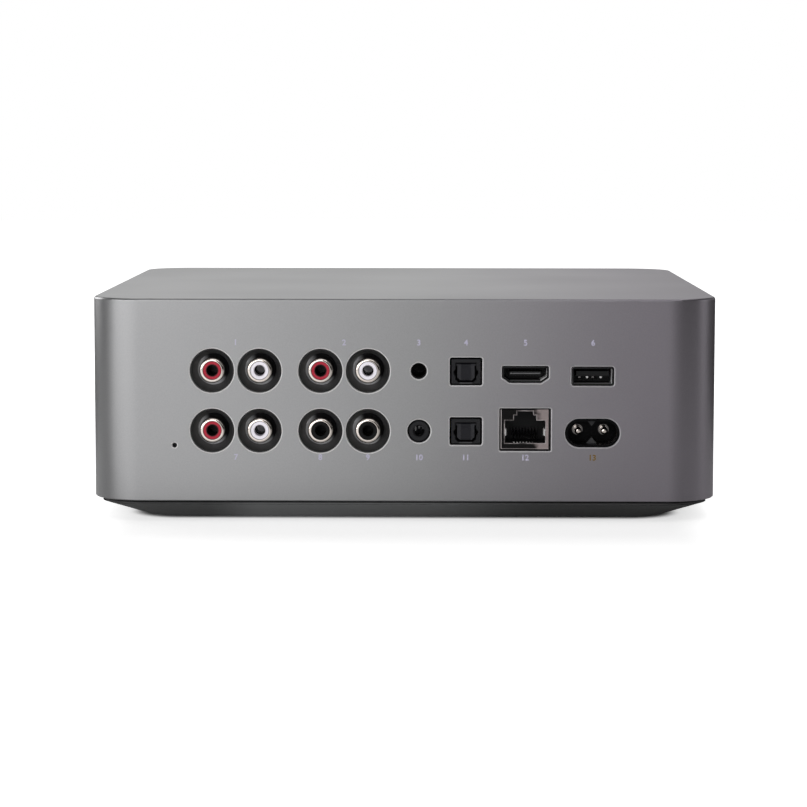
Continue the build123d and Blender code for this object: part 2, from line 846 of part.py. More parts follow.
with BuildPart() as trigger_contacts:
    with BuildSketch(rear_at(jack_nose_recess + jack_bore_length + jack_chamber_depth)):
        for leaf_place, leaf_height in zip(jack_leaf_places, jack_leaf_heights):
            with Locations((trigger_across + leaf_place, trigger_up)):
                Rectangle(jack_leaf_width, leaf_height)
    extrude(amount=jack_leaf_thickness)
save(trigger_contacts, "trigger_contacts")

headphone_jack = make_jack(
    front_at,
    (headphone_x, headphone_up),
    headphone_up - jack_body_height / 2,
    headphone_up + jack_body_height / 2,
)
save(headphone_jack, "headphone_jack")

# Optical sockets: the shutter hangs from an axle at the top of the mouth and swings inwards
shutter_axis_inset = optical_nose_recess + shutter_recess + shutter_thickness / 2


def shutter_axis_up(up):
    """Height of the shutter's axle, a little under the top of the mouth."""
    mouth_top = up - optical_mouth_drop + optical_mouth_height / 2
    return mouth_top - shutter_top_room - shutter_thickness / 2


def make_optical_body(up, seat):
    """A block on its board, with a nose in the wall's opening that is bored to the plug's outline."""
    nose_width = optical_hole_width - 2 * optical_gap
    nose_height = optical_hole_height - 2 * optical_gap
    high = up + nose_height / 2
    axle_reach = optical_mouth_width / 2 + shutter_axle_grip
    with BuildPart() as body:
        with BuildSketch(rear_at(wall)):
            with Locations((optical_across, (seat + high) / 2)):
                Rectangle(nose_width, high - seat)
        extrude(amount=-optical_body_depth)
        with BuildSketch(rear_at(wall)):
            with Locations((optical_across, up)):
                Rectangle(nose_width, nose_height)
        extrude(amount=wall - optical_nose_recess)
        with BuildSketch(rear_at(optical_nose_recess)):
            add(optical_mouth(up, 0))
        extrude(amount=-optical_mouth_depth, mode=Mode.SUBTRACT)
        chamfer(body.faces().sort_by(Axis.Y)[-1].inner_wires().edges(), optical_edge_break)
        with BuildSketch(Plane.YZ.offset(-optical_across)):
            with Locations((rear - shutter_axis_inset, shutter_axis_up(up))):
                Circle(shutter_axle_radius + running_gap)
        extrude(amount=axle_reach + running_gap, both=True, mode=Mode.SUBTRACT)
    return body


def make_shutter(up):
    """A flap that fills the mouth, with a raised panel outside and a round axle through its top edge."""
    axis_up = shutter_axis_up(up)
    half = optical_mouth_width / 2 - shutter_gap
    bottom = up - optical_mouth_drop - optical_mouth_height / 2 + shutter_gap
    panel_middle = (axis_up + bottom) / 2
    outer = shutter_axis_inset - shutter_thickness / 2
    with BuildPart() as body:
        with BuildSketch(rear_at(outer)) as face:
            with Locations((optical_across, panel_middle)):
                Rectangle(2 * half, axis_up - bottom)
            chamfer(face.vertices().group_by(Axis.Y)[0], optical_mouth_chamfer)
        extrude(amount=-shutter_thickness)
        with BuildSketch(rear_at(outer)):
            with Locations((optical_across, panel_middle - shutter_thickness / 2)):
                Rectangle(shutter_panel_width, axis_up - bottom - 2 * shutter_thickness)
        extrude(amount=shutter_panel_rise)
        with BuildSketch(Plane.YZ.offset(-optical_across)):
            with Locations((rear - shutter_axis_inset, axis_up)):
                Circle(shutter_thickness / 2)
        extrude(amount=half, both=True)
        with BuildSketch(Plane.YZ.offset(-optical_across)):
            with Locations((rear - shutter_axis_inset, axis_up)):
                Circle(shutter_axle_radius)
        extrude(amount=optical_mouth_width / 2 + shutter_axle_grip, both=True)
    return body


for name, up, seat in (
    ("optical_in", optical_in_up, digital_board_top),
    ("optical_out", optical_out_up, main_board_top),
):
    save(make_optical_body(up, seat), f"{name}_body")
    save(make_shutter(up), f"{name}_shutter")


# Metal-shelled sockets: a folded shell on legs, and a moulded tongue that fills its back end
def leg_feet(across, leg_span, leg_length):
    """Footprint of the two legs that carry a shell on its board, behind the wall."""
    with BuildSketch(mode=Mode.PRIVATE) as feet:
        with Locations((-across, rear - wall - leg_length / 2)):
            with GridLocations(leg_span, leg_length, 2, 1):
                Rectangle(2 * shell_thickness, leg_length)
    return feet.sketch


shell_leg_length = shell_length + shell_recess - wall
with BuildPart() as hdmi_shell:
    with BuildSketch(rear_at(shell_recess)):
        add(hdmi_outline(shell_gap))
        add(hdmi_outline(shell_gap + shell_thickness), mode=Mode.SUBTRACT)
    extrude(amount=-shell_length)
    with BuildSketch(Plane.XY.offset(digital_board_top)):
        add(leg_feet(hdmi_across, hdmi_foot_width - 2 * shell_gap - 4 * shell_thickness, shell_leg_length))
    extrude(amount=hdmi_up - hdmi_hole_height / 2 + shell_gap + shell_thickness - digital_board_top)
    with BuildSketch(rear_at(shell_recess)):
        add(hdmi_outline(shell_gap + shell_thickness))
    extrude(amount=-shell_length, mode=Mode.SUBTRACT)
save(hdmi_shell, "hdmi_shell")

with BuildPart() as hdmi_tongue:
    with BuildSketch(rear_at(shell_recess + shell_length)):
        add(hdmi_outline(shell_gap + shell_thickness + press_gap))
    extrude(amount=tongue_base)
    with BuildSketch(rear_at(shell_recess + shell_length)):
        with Locations((hdmi_across, hdmi_up + hdmi_tongue_rise)):
            Rectangle(hdmi_tongue_width, hdmi_tongue_thickness)
    extrude(amount=shell_length - tongue_recess)
save(hdmi_tongue, "hdmi_tongue")

usb_shell_width = usb_hole_width - 2 * shell_gap
usb_shell_height = usb_hole_height - 2 * shell_gap
usb_shell_corner = usb_hole_corner - shell_gap
with BuildPart() as usb_shell:
    with BuildSketch(rear_at(shell_recess)):
        with Locations((usb_across, usb_up)):
            RectangleRounded(usb_shell_width, usb_shell_height, usb_shell_corner)
            Rectangle(
                usb_shell_width - 2 * shell_thickness,
                usb_shell_height - 2 * shell_thickness,
                mode=Mode.SUBTRACT,
            )
    extrude(amount=-shell_length)
    with BuildSketch(Plane.XY.offset(digital_board_top)):
        usb_leg_span = usb_shell_width - 2 * usb_shell_corner - 2 * shell_thickness
        add(leg_feet(usb_across, usb_leg_span, shell_leg_length))
    extrude(amount=usb_up - usb_shell_height / 2 + shell_thickness - digital_board_top)
    with BuildSketch(rear_at(shell_recess)):
        with Locations((usb_across, usb_up)):
            Rectangle(usb_shell_width - 2 * shell_thickness, usb_shell_height - 2 * shell_thickness)
    extrude(amount=-shell_length, mode=Mode.SUBTRACT)
save(usb_shell, "usb_shell")

with BuildPart() as usb_tongue:
    with BuildSketch(rear_at(shell_recess + shell_length)):
        with Locations((usb_across, usb_up)):
            Rectangle(
                usb_shell_width - 2 * shell_thickness - 2 * press_gap,
                usb_shell_height - 2 * shell_thickness - 2 * press_gap,
            )
    extrude(amount=tongue_base)
    with BuildSketch(rear_at(shell_recess + shell_length)):
        with Locations((usb_across, usb_up + usb_tongue_rise)):
            Rectangle(usb_tongue_width, usb_tongue_thickness)
    extrude(amount=shell_length - tongue_recess)
save(usb_tongue, "usb_tongue")

# Network socket: a shielding can with a stepped mouth, over a moulded insert with eight spring contacts
lan_shell_width = lan_hole_width - 2 * lan_gap
lan_shell_height = lan_hole_height - 2 * lan_gap
lan_shell_bottom = lan_up - lan_shell_height / 2
with BuildPart() as lan_shell:
    with BuildSketch(rear_at(shell_recess)):
        with Locations((lan_across, lan_up)):
            Rectangle(lan_shell_width, lan_shell_height)
    extrude(amount=-lan_shell_length)
    with BuildSketch(Plane.XY.offset(main_board_top)):
        lan_leg_length = lan_shell_length + shell_recess - wall
        add(leg_feet(lan_across, lan_shell_width - 2 * shell_thickness, lan_leg_length))
    extrude(amount=lan_shell_bottom + shell_thickness - main_board_top)
    with BuildSketch(rear_at(shell_recess + shell_thickness)):
        with Locations((lan_across, lan_up)):
            Rectangle(lan_shell_width - 2 * shell_thickness, lan_shell_height - 2 * shell_thickness)
    extrude(amount=-lan_shell_length, mode=Mode.SUBTRACT)
    with BuildSketch(rear_at(shell_recess)):
        lan_mouth()
    extrude(amount=-shell_thickness, mode=Mode.SUBTRACT)
save(lan_shell, "lan_shell")

with BuildPart() as lan_insert:
    with BuildSketch(rear_at(shell_recess + shell_thickness)):
        with Locations((lan_across, lan_up)):
            Rectangle(
                lan_shell_width - 2 * shell_thickness - 2 * press_gap,
                lan_shell_height - 2 * shell_thickness - 2 * press_gap,
            )
    extrude(amount=-(lan_shell_length - shell_thickness))
    with BuildSketch(rear_at(shell_recess + shell_thickness)):
        lan_mouth()
        with Locations((lan_across, lan_up + lan_shell_height / 2 - lan_latch_height / 2)):
            Rectangle(lan_latch_width, lan_latch_height)
    extrude(amount=-lan_mouth_depth, mode=Mode.SUBTRACT)
save(lan_insert, "lan_insert")

lan_floor = lan_up + lan_mouth_up - lan_mouth_height / 2 - lan_step_height / 2
lan_back = shell_recess + shell_thickness + lan_mouth_depth
with BuildPart() as lan_contacts:
    for number in range(lan_contact_count):
        contact_across = lan_across + (number - (lan_contact_count - 1) / 2) * lan_contact_pitch
        with BuildSketch(Plane.YZ.offset(-contact_across)):
            with BuildLine():
                Polyline(
                    (rear - shell_recess - lan_contact_start, lan_floor),
                    (rear - shell_recess - lan_contact_start - lan_contact_foot, lan_floor),
                    (rear - lan_back, lan_floor + lan_contact_rise),
                    (rear - lan_back, lan_floor + lan_contact_rise + lan_contact_tail),
                    close=True,
                )
            make_face()
        extrude(amount=lan_contact_width / 2, both=True)
save(lan_contacts, "lan_contacts")

# Mains inlet: a deep moulded well with two pins, its waist marked by two ridges
inlet_nose_width = inlet_hole_width - 2 * inlet_gap
inlet_nose_height = inlet_hole_height - 2 * inlet_gap
inlet_well_width = inlet_nose_width - 2 * inlet_wall
inlet_well_height = inlet_nose_height - 2 * inlet_wall
with BuildPart() as power_inlet:
    inlet_high = inlet_up + inlet_nose_height / 2
    body_depth = inlet_nose_recess + inlet_cavity_depth + inlet_back - wall
    with BuildSketch(rear_at(wall)):
        with Locations((inlet_across, (main_board_top + inlet_high + inlet_body_side) / 2)):
            Rectangle(
                inlet_nose_width + 2 * inlet_body_side, inlet_high + inlet_body_side - main_board_top
            )
    extrude(amount=-body_depth)
    with BuildSketch(rear_at(wall)):
        with Locations((inlet_across, inlet_up)):
            SlotOverall(inlet_nose_width, inlet_nose_height)
    extrude(amount=wall - inlet_nose_recess)
    with BuildSketch(rear_at(inlet_nose_recess)):
        with Locations((inlet_across, inlet_up)):
            SlotOverall(inlet_well_width, inlet_well_height)
    extrude(amount=-inlet_cavity_depth, mode=Mode.SUBTRACT)
    with BuildSketch(rear_at(inlet_nose_recess + inlet_ridge_depth)):
        for way in (-1, 1):
            edge = inlet_up + way * inlet_well_height / 2
            with BuildLine():
                Polyline(
                    (inlet_across - inlet_ridge_width / 2, edge),
                    (inlet_across, edge - way * inlet_ridge_height),
                    (inlet_across + inlet_ridge_width / 2, edge),
                    close=True,
                )
            make_face()
    extrude(amount=-(inlet_cavity_depth - inlet_ridge_depth))
    with BuildSketch(rear_at(inlet_nose_recess + inlet_cavity_depth)):
        with Locations((inlet_across, inlet_up)):
            with GridLocations(inlet_pin_pitch, inlet_pin_pitch, 2, 1):
                Circle(inlet_pin_radius + press_gap)
    extrude(amount=-inlet_back, mode=Mode.SUBTRACT)
save(power_inlet, "power_inlet")

with BuildPart() as power_pins:
    with BuildSketch(rear_at(inlet_nose_recess + inlet_cavity_depth)):
        with Locations((inlet_across, inlet_up)):
            with GridLocations(inlet_pin_pitch, inlet_pin_pitch, 2, 1):
                Circle(inlet_pin_radius)
    extrude(amount=inlet_nose_recess + inlet_cavity_depth - inlet_pin_recess)
    fillet(power_pins.edges().group_by(Axis.Y)[-1], inlet_pin_round)
    with BuildSketch(rear_at(inlet_nose_recess + inlet_cavity_depth)):
        with Locations((inlet_across, inlet_up)):
            with GridLocations(inlet_pin_pitch, inlet_pin_pitch, 2, 1):
                Circle(inlet_collar_radius)
    extrude(amount=inlet_collar_height)
    with BuildSketch(rear_at(inlet_nose_recess + inlet_cavity_depth)):
        with Locations((inlet_across, inlet_up)):
            with GridLocations(inlet_pin_pitch, inlet_pin_pitch, 2, 1):
                Circle(inlet_pin_radius)
    extrude(amount=-inlet_back)
save(power_pins, "power_pins")

# Reset switch: a short plunger faces the pinhole and moves inwards when a pin presses it
reset_plunger_face = wall + reset_room
reset_body_face = reset_plunger_face + reset_plunger_proud
reset_bore_depth = reset_plunger_length - reset_plunger_proud + reset_travel_room
with BuildPart() as reset_switch:
    with BuildSketch(rear_at(reset_body_face)):
        with Locations((reset_across, (main_board_top + reset_up + reset_body_width / 2) / 2)):
            Rectangle(reset_body_width, reset_up + reset_body_width / 2 - main_board_top)
    extrude(amount=-reset_body_depth)
    with BuildSketch(rear_at(reset_body_face)):
        with Locations((reset_across, reset_up)):
            Circle(reset_plunger_radius + running_gap)
    extrude(amount=-reset_bore_depth, mode=Mode.SUBTRACT)
save(reset_switch, "reset_switch")

with BuildPart() as reset_plunger:
    with BuildSketch(rear_at(reset_plunger_face)):
        with Locations((reset_across, reset_up)):
            Circle(reset_plunger_radius)
    extrude(amount=-reset_plunger_length)
save(reset_plunger, "reset_plunger")

# Display: cover glass in the window, the panel behind it, and a bracket that clamps both to the front wall
with BuildPart() as display_glass:
    with BuildSketch(front_at(display_glass_recess)):
        with Locations((0, display_up)):
            RectangleRounded(
                display_width - 2 * display_glass_gap,
                display_height - 2 * display_glass_gap,
                display_corner - display_glass_gap,
            )
    extrude(amount=-(wall - display_glass_recess))
save(display_glass, "display_glass")

with BuildPart() as display_panel:
    with BuildSketch(front_at(wall)):
        with Locations((0, display_up)):
            Rectangle(display_width + 2 * display_overlap - 2 * seat_gap, display_height + display_overlap)
    extrude(amount=-display_panel_thickness)
save(display_panel, "display_panel")

with BuildPart() as display_bracket:
    with BuildSketch(front_at(wall + display_panel_thickness)):
        with Locations((0, display_up)):
            Rectangle(boss_spacing_x + 2 * display_bracket_margin, display_height)
            Rectangle(
                display_width - 2 * display_window_margin,
                display_height - 2 * display_window_margin,
                mode=Mode.SUBTRACT,
            )
            with GridLocations(boss_spacing_x, boss_spacing_z, 2, 2):
                Circle(display_thread_radius + seat_gap, mode=Mode.SUBTRACT)
    extrude(amount=-display_bracket_thickness)
save(display_bracket, "display_bracket")

# Inner screws: eight hold the two lower boards to the tray's standoffs, four hold the display bracket
with BuildPart() as inner_screws:
    with BuildSketch(Plane.XY.offset(main_board_top)):
        with Locations(*board_screw_places):
            Circle(board_screw_head_radius)
    extrude(amount=board_screw_head_height)
    with BuildSketch(Plane.XY.offset(main_board_top)):
        with Locations(*board_screw_places):
            Circle(standoff_bore - press_gap)
    extrude(amount=-board_screw_shank)
    with BuildSketch(front_at(wall + display_panel_thickness + display_bracket_thickness)):
        with Locations((0, display_up)):
            with GridLocations(boss_spacing_x, boss_spacing_z, 2, 2):
                Circle(display_screw_head_radius)
    extrude(amount=-display_screw_head_height)
    with BuildSketch(front_at(wall + display_panel_thickness + display_bracket_thickness)):
        with Locations((0, display_up)):
            with GridLocations(boss_spacing_x, boss_spacing_z, 2, 2):
                Circle(display_thread_radius - press_gap)
    extrude(amount=display_screw_shank)
save(inner_screws, "inner_screws")

# Encoder: its bush goes through the front wall, and a nut clamps it there
rotor_front = wall + encoder_front_wall
rotor_room_end = wall + encoder_depth - encoder_back_wall


def flatted_circle(radius):
    """A circle with one side cut to a flat, as on a shaft that must not turn in its hole."""
    with Locations((knob_x, knob_up)):
        Circle(radius)
    with Locations((knob_x, knob_up + radius)):
        Rectangle(2 * radius, 2 * shaft_flat, mode=Mode.SUBTRACT)


with BuildPart() as encoder_body:
    with BuildSketch(front_at(wall)):
        with Locations((knob_x, knob_up)):
            Rectangle(encoder_width, encoder_width)
    extrude(amount=-encoder_depth)
    with BuildSketch(front_at(wall)):
        with Locations((knob_x, knob_up)):
            Circle(bush_radius)
    extrude(amount=bush_length)
    with BuildSketch(front_at(wall - bush_length)):
        with Locations((knob_x, knob_up)):
            Circle(shaft_radius + running_gap)
    extrude(amount=-(bush_length + encoder_front_wall), mode=Mode.SUBTRACT)
    with BuildSketch(front_at(rotor_front)):
        with Locations((knob_x, knob_up)):
            Circle(rotor_radius + running_gap)
    extrude(amount=-(rotor_room_end - rotor_front), mode=Mode.SUBTRACT)
save(encoder_body, "encoder_body")

with BuildPart() as encoder_rotor:
    with BuildSketch(front_at(rotor_front + running_gap)):
        with Locations((knob_x, knob_up)):
            Circle(rotor_radius)
    extrude(amount=-rotor_length)
    with BuildSketch(front_at(rotor_front + running_gap)):
        flatted_circle(shaft_radius + running_gap)
    extrude(amount=-rotor_length, mode=Mode.SUBTRACT)
save(encoder_rotor, "encoder_rotor")

with BuildPart() as encoder_nut:
    with BuildSketch(front_at(0)):
        with Locations((knob_x, knob_up)):
            RegularPolygon(nut_across_flats / 2, 6, major_radius=False)
            Circle(bush_radius + press_gap, mode=Mode.SUBTRACT)
    extrude(amount=nut_thickness)
save(encoder_nut, "encoder_nut")

knob_back = -knob_gap
knob_face = knob_back - knob_depth
shaft_end = rotor_room_end - push_room
with BuildPart() as encoder_shaft:
    with BuildSketch(front_at(rotor_front - shaft_flat_lead)):
        with Locations((knob_x, knob_up)):
            Circle(shaft_radius)
    extrude(amount=rotor_front - shaft_flat_lead - knob_face - knob_skin)
    with BuildSketch(front_at(rotor_front - shaft_flat_lead)):
        flatted_circle(shaft_radius)
    extrude(amount=-(shaft_end - rotor_front + shaft_flat_lead))
save(encoder_shaft, "encoder_shaft")

with BuildPart() as volume_knob:
    with BuildSketch(front_at(knob_back)):
        with Locations((knob_x, knob_up)):
            Circle(knob_radius)
    extrude(amount=knob_depth)
    fillet(volume_knob.edges().group_by(Axis.Y)[0], knob_edge_round)
    with BuildSketch(front_at(knob_back)):
        with Locations((knob_x, knob_up)):
            Circle(knob_hollow_radius)
    extrude(amount=knob_hollow_depth, mode=Mode.SUBTRACT)
    with BuildSketch(front_at(knob_back)):
        with Locations((knob_x, knob_up)):
            Circle(shaft_radius + press_gap)
    extrude(amount=knob_depth - knob_skin, mode=Mode.SUBTRACT)
save(volume_knob, "volume_knob")

# Front board: held by the encoder and the headphone socket, with a flat cable to the main board
with BuildPart() as front_board:
    with BuildSketch(front_at(wall + encoder_depth)):
        with Locations((0, (front_board_low + front_board_high) / 2)):
            Rectangle(front_board_width, front_board_high - front_board_low)
    extrude(amount=-board_thickness)
    with BuildSketch(front_at(wall + encoder_depth)):
        with Locations((headphone_x, headphone_up)):
            Rectangle(jack_body_width + 2 * press_gap, jack_body_height + 2 * press_gap)
    extrude(amount=-board_thickness, mode=Mode.SUBTRACT)
save(front_board, "front_board")

with BuildPart() as ribbon_cable:
    landing_up = main_board_top + ribbon_thickness / 2
    with BuildSketch(Plane.YZ):
        with BuildLine():
            FilletPolyline(
                (front_board_back, ribbon_up),
                (front_board_back + ribbon_reach, ribbon_up),
                (main_board_front - ribbon_reach, landing_up),
                (main_board_front + ribbon_landing, landing_up),
                radius=ribbon_radius,
            )
        trace(line_width=ribbon_thickness)
    extrude(amount=ribbon_width / 2, both=True)
save(ribbon_cable, "ribbon_cable")

# Processor under its can, with a finned heat sink on top
with BuildPart() as processor_shield:
    with BuildSketch(Plane.XY.offset(main_board_top)):
        with Locations((processor_x, processor_y)):
            RectangleRounded(processor_width, processor_width, processor_height / 4)
    extrude(amount=processor_height)
save(processor_shield, "processor_shield")

with BuildPart() as heat_sink:
    with BuildSketch(Plane.XY.offset(main_board_top + processor_height)):
        with Locations((processor_x, processor_y)):
            Rectangle(heat_sink_width, heat_sink_width)
    extrude(amount=heat_sink_base)
    fin_pitch = heat_sink_width / heat_sink_fins
    with BuildSketch(Plane.XY.offset(main_board_top + processor_height + heat_sink_base)):
        with Locations((processor_x, processor_y)):
            with GridLocations(fin_pitch, heat_sink_width, heat_sink_fins, 1):
                Rectangle(fin_pitch * fin_share, heat_sink_width)
    extrude(amount=heat_sink_height - heat_sink_base)
save(heat_sink, "heat_sink")

# Wireless module on the digital board, with its aerial strip on the tray, where no metal covers it
with BuildPart() as wireless_module:
    with BuildSketch(Plane.XY.offset(digital_board_top)):
        with Locations((wireless_x, wireless_y)):
            RectangleRounded(wireless_width, wireless_depth, wireless_height / 4)
    extrude(amount=wireless_height)
save(wireless_module, "wireless_module")

with BuildPart() as antenna:
    with BuildSketch(Plane.XY.offset(floor_top)):
        with Locations((0, antenna_y)):
            RectangleRounded(antenna_length, antenna_width, antenna_width / 4)
    extrude(amount=antenna_thickness)
save(antenna, "antenna")

# Power supply: a transformer and its reservoir capacitors
with BuildPart() as transformer:
    with BuildSketch(Plane.XY.offset(main_board_top)):
        with Locations((power_middle, transformer_y)):
            Rectangle(transformer_width, transformer_depth * transformer_core_share)
    extrude(amount=transformer_height)
    with BuildSketch(Plane.XY.offset(main_board_top)):
        with Locations((power_middle, transformer_y)):
            RectangleRounded(
                transformer_width * transformer_winding_share, transformer_depth, transformer_width / 6
            )
    extrude(amount=transformer_height * transformer_winding_share)
save(transformer, "transformer")

with BuildPart() as supply_capacitors:
    with BuildSketch(Plane.XY.offset(main_board_top)):
        with Locations((power_middle, capacitor_y)):
            with GridLocations(capacitor_pitch, capacitor_pitch, 1, capacitor_count):
                Circle(capacitor_radius)
    extrude(amount=capacitor_height)
    fillet(supply_capacitors.edges().group_by(Axis.Z)[-1], capacitor_radius / 10)
save(supply_capacitors, "supply_capacitors")
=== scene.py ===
import math
import bpy
import numpy as np
from mathutils import Matrix, Vector


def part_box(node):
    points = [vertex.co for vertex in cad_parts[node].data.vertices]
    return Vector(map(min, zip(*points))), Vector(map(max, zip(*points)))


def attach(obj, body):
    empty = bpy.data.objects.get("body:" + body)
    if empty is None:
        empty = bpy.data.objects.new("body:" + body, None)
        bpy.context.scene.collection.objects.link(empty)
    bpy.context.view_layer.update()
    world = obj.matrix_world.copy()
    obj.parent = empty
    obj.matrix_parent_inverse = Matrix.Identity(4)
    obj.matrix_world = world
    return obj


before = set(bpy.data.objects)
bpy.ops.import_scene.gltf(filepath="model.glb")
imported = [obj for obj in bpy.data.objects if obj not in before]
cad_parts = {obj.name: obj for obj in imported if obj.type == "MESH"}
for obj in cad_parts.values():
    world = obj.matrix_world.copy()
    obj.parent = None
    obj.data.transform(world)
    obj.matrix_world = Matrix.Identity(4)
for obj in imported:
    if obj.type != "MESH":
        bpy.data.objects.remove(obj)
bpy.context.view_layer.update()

# Network music streamer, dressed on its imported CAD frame. Lengths are in millimetres until a mesh is made.
# The rear wall with the sockets faces +Y. "across" runs to the right as seen from behind, so X = -across.
REAR = 102.5

# Casing: one shell of aluminium, milled, bead blasted and anodised grey. The blasting leaves a fine even
# grain that spreads reflections into soft bands. The socket openings are cut afterwards, which leaves a
# bevel of bare metal round each of them, made nearly matt and pale as a painted highlight, with painted
# shade that darkens it towards the mains inlet. There the metal also has a painted lilac cast of the light.


def linear(code):
    """Linear RGBA of an sRGB hex colour: each channel goes through the sRGB curve."""
    channels = np.array([int(code[i:i + 2], 16) for i in (1, 3, 5)]) / 255.0
    bent = np.where(channels <= 0.04045, channels / 12.92, ((channels + 0.055) / 1.055) ** 2.4)
    return (*bent.tolist(), 1.0)


def feed(node, inputs):
    """Sets a node's sockets to values or links. A node as a value stands for its first output in use."""
    for name, value in inputs.items():
        if isinstance(value, bpy.types.Node):
            value = next(output for output in value.outputs if output.enabled)
        if isinstance(value, bpy.types.NodeSocket):
            node.id_data.links.new(value, node.inputs[name])
        else:
            node.inputs[name].default_value = value


def add(tree, kind, inputs=(), **settings):
    """Adds a node: settings are its properties, inputs maps socket names or numbers to values for feed()."""
    node = tree.nodes.new("ShaderNode" + kind)
    for name, value in settings.items():
        setattr(node, name, value)
    feed(node, dict(inputs))
    return node


def new_material(name, **shader_inputs):
    """A material with one Principled shader, its tree and the place in mm, from Object coordinates."""
    material = bpy.data.materials.new(name)
    material.use_nodes = True
    tree = material.node_tree
    tree.nodes.clear()
    shader = add(tree, "BsdfPrincipled", {k.replace("_", " "): v for k, v in shader_inputs.items()})
    add(tree, "OutputMaterial", {"Surface": shader})
    coordinates = add(tree, "TexCoord")
    place = add(tree, "Mapping", {"Vector": coordinates.outputs["Object"], "Scale": (1000.0,) * 3})
    return material, tree, shader, place


def grained(name, size, detail, dark, light, gloss=None, **shader_inputs):
    """A material whose colour drifts between two tones over grains of a size in millimetres.

    gloss is a pair of roughnesses that the grain runs between. It returns what new_material() gives, then
    the grain and the ground tone, on which overlay() lays marks.
    """
    material, tree, shader, place = new_material(name, **shader_inputs)
    grain = add(tree, "TexNoise", {"Vector": place, "Scale": 1 / size, "Detail": detail})
    tone = add(tree, "Mix", {"Factor": grain, "A": linear(dark), "B": linear(light)}, data_type="RGBA")
    feed(shader, {"Base Color": tone})
    if gloss:
        rough = add(tree, "MapRange", {"Value": grain, "To Min": gloss[0], "To Max": gloss[1]})
        feed(shader, {"Roughness": rough})
    return material, tree, shader, place, grain, tone


def overlay(shader, tone, *marks):
    """Colours a shader by a ground tone and marks on it, each a share from 0 to 1 and its colour."""
    for share, colour in marks:
        colour = linear(colour) if isinstance(colour, str) else colour
        tone = add(shader.id_data, "Mix", {"Factor": share, "A": tone, "B": colour}, data_type="RGBA")
    feed(shader, {"Base Color": tone})


def dress(material, *nodes):
    """Puts a material on CAD nodes, in every slot of each."""
    for node in nodes:
        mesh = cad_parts[node].data
        mesh.materials.clear()
        mesh.materials.append(material)


def smooth_case_normal(tree, place):
    """Normal of the casing's outside as a rounded box, by formula, so that no facets show in reflections.

    q is how far the point lies beyond the straight part of the walls, in X and Y, never below nothing. Along
    the walls the normal is q with the signs of X and Y, q being eased by q over EASING while that is below
    one, so that a corner starts without a visible line. On the rounded top edge it is that direction times
    the distance beyond the edge's centre line, plus upwards times the height above that line. It is used
    only where it agrees with the face's own normal, so that holes, bevels and inner faces keep theirs.
    """
    straight = (REAR - CASE_CORNER, REAR - CASE_CORNER, 1000.0)
    ends = add(tree, "VectorMath", {0: place}, operation="ABSOLUTE")
    beyond = add(tree, "VectorMath", {0: ends, 1: straight}, operation="SUBTRACT")
    beyond = add(tree, "VectorMath", {0: beyond, 1: (0.0, 0.0, 0.0)}, operation="MAXIMUM")
    signs = add(tree, "VectorMath", {0: place}, operation="SIGN")
    eased = add(tree, "VectorMath", {0: beyond, 1: (EASING, EASING, EASING)}, operation="DIVIDE")
    eased = add(tree, "VectorMath", {0: eased, 1: (1.0, 1.0, 1.0)}, operation="MINIMUM")
    eased = add(tree, "VectorMath", {0: eased, 1: beyond}, operation="MULTIPLY")
    outward = add(tree, "VectorMath", {0: eased, 1: signs}, operation="MULTIPLY")
    outward = add(tree, "VectorMath", {0: outward}, operation="NORMALIZE")
    distance = add(tree, "VectorMath", {0: beyond}, operation="LENGTH")
    level = add(tree, "MapRange", {"Value": distance, "From Min": CASE_CORNER - CASE_ROUND,
                                   "From Max": CASE_CORNER})
    height = add(tree, "SeparateXYZ", {"Vector": place})
    above = add(tree, "MapRange", {"Value": height.outputs["Z"], "From Min": CASE_TOP - CASE_ROUND,
                                   "From Max": CASE_TOP})
    sideways = add(tree, "VectorMath", {0: outward, "Scale": level}, operation="SCALE")
    upwards = add(tree, "CombineXYZ", {"Z": above})
    formula = add(tree, "VectorMath", {0: sideways, 1: upwards}, operation="ADD")
    formula = add(tree, "VectorMath", {0: formula}, operation="NORMALIZE")
    own = add(tree, "NewGeometry")
    agree = add(tree, "VectorMath", {0: formula, 1: own.outputs["True Normal"]}, operation="DOT_PRODUCT")
    outside = add(tree, "Math", {0: agree, 1: 0.93}, operation="GREATER_THAN")
    return add(tree, "Mix", {"Factor": outside, "A": own.outputs["Normal"], "B": formula},
               data_type="VECTOR")


CASE_CORNER, CASE_ROUND, EASING = 17.0, 0.8, 6.0
CASE_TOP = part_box("housing")[1][2] * 1000
BLAST_GRAIN = 0.45  # real bead marks are about 0.1 mm, drawn coarser so that they show at all
HANDLING_PATCH = 60.0
BEVEL_WIDTH, BEVELS_WITHIN, BEVELS_UP, BEVELS_TALL = 0.35, 80.0, 41.0, 28.0
PAINTED_CAST_FROM, PAINTED_CAST_TO = -5.0, -80.0
anodised, tree, shader, place, grain, tone = grained(
    "anodised_aluminium_bead_blasted", BLAST_GRAIN, 3.0, "#919192", "#9B9B9C", Metallic=1.0)
patches = add(tree, "TexNoise", {"Vector": place, "Scale": 1 / HANDLING_PATCH, "Detail": 2.0})
spot = add(tree, "SeparateXYZ", {"Vector": place})
# Painted lilac cast of the light, growing towards the mains inlet.
painted_cast_share = add(tree, "MapRange", {"Value": spot.outputs["X"], "From Min": PAINTED_CAST_FROM, "From Max": PAINTED_CAST_TO})
painted_cast_tone = add(tree, "Mix", {"Factor": grain, "A": linear("#908B92"), "B": linear("#9A959C")}, data_type="RGBA")
facing = add(tree, "SeparateXYZ", {"Vector": add(tree, "NewGeometry").outputs["True Normal"]})
bevel = add(tree, "Math", {0: facing.outputs["Y"], 1: 0.7071, 2: 0.15}, operation="COMPARE")
at_rear = add(tree, "Math", {0: spot.outputs["Y"], 1: REAR - BEVEL_WIDTH - 0.05}, operation="GREATER_THAN")
from_middle = add(tree, "Math", {0: spot.outputs["X"]}, operation="ABSOLUTE")
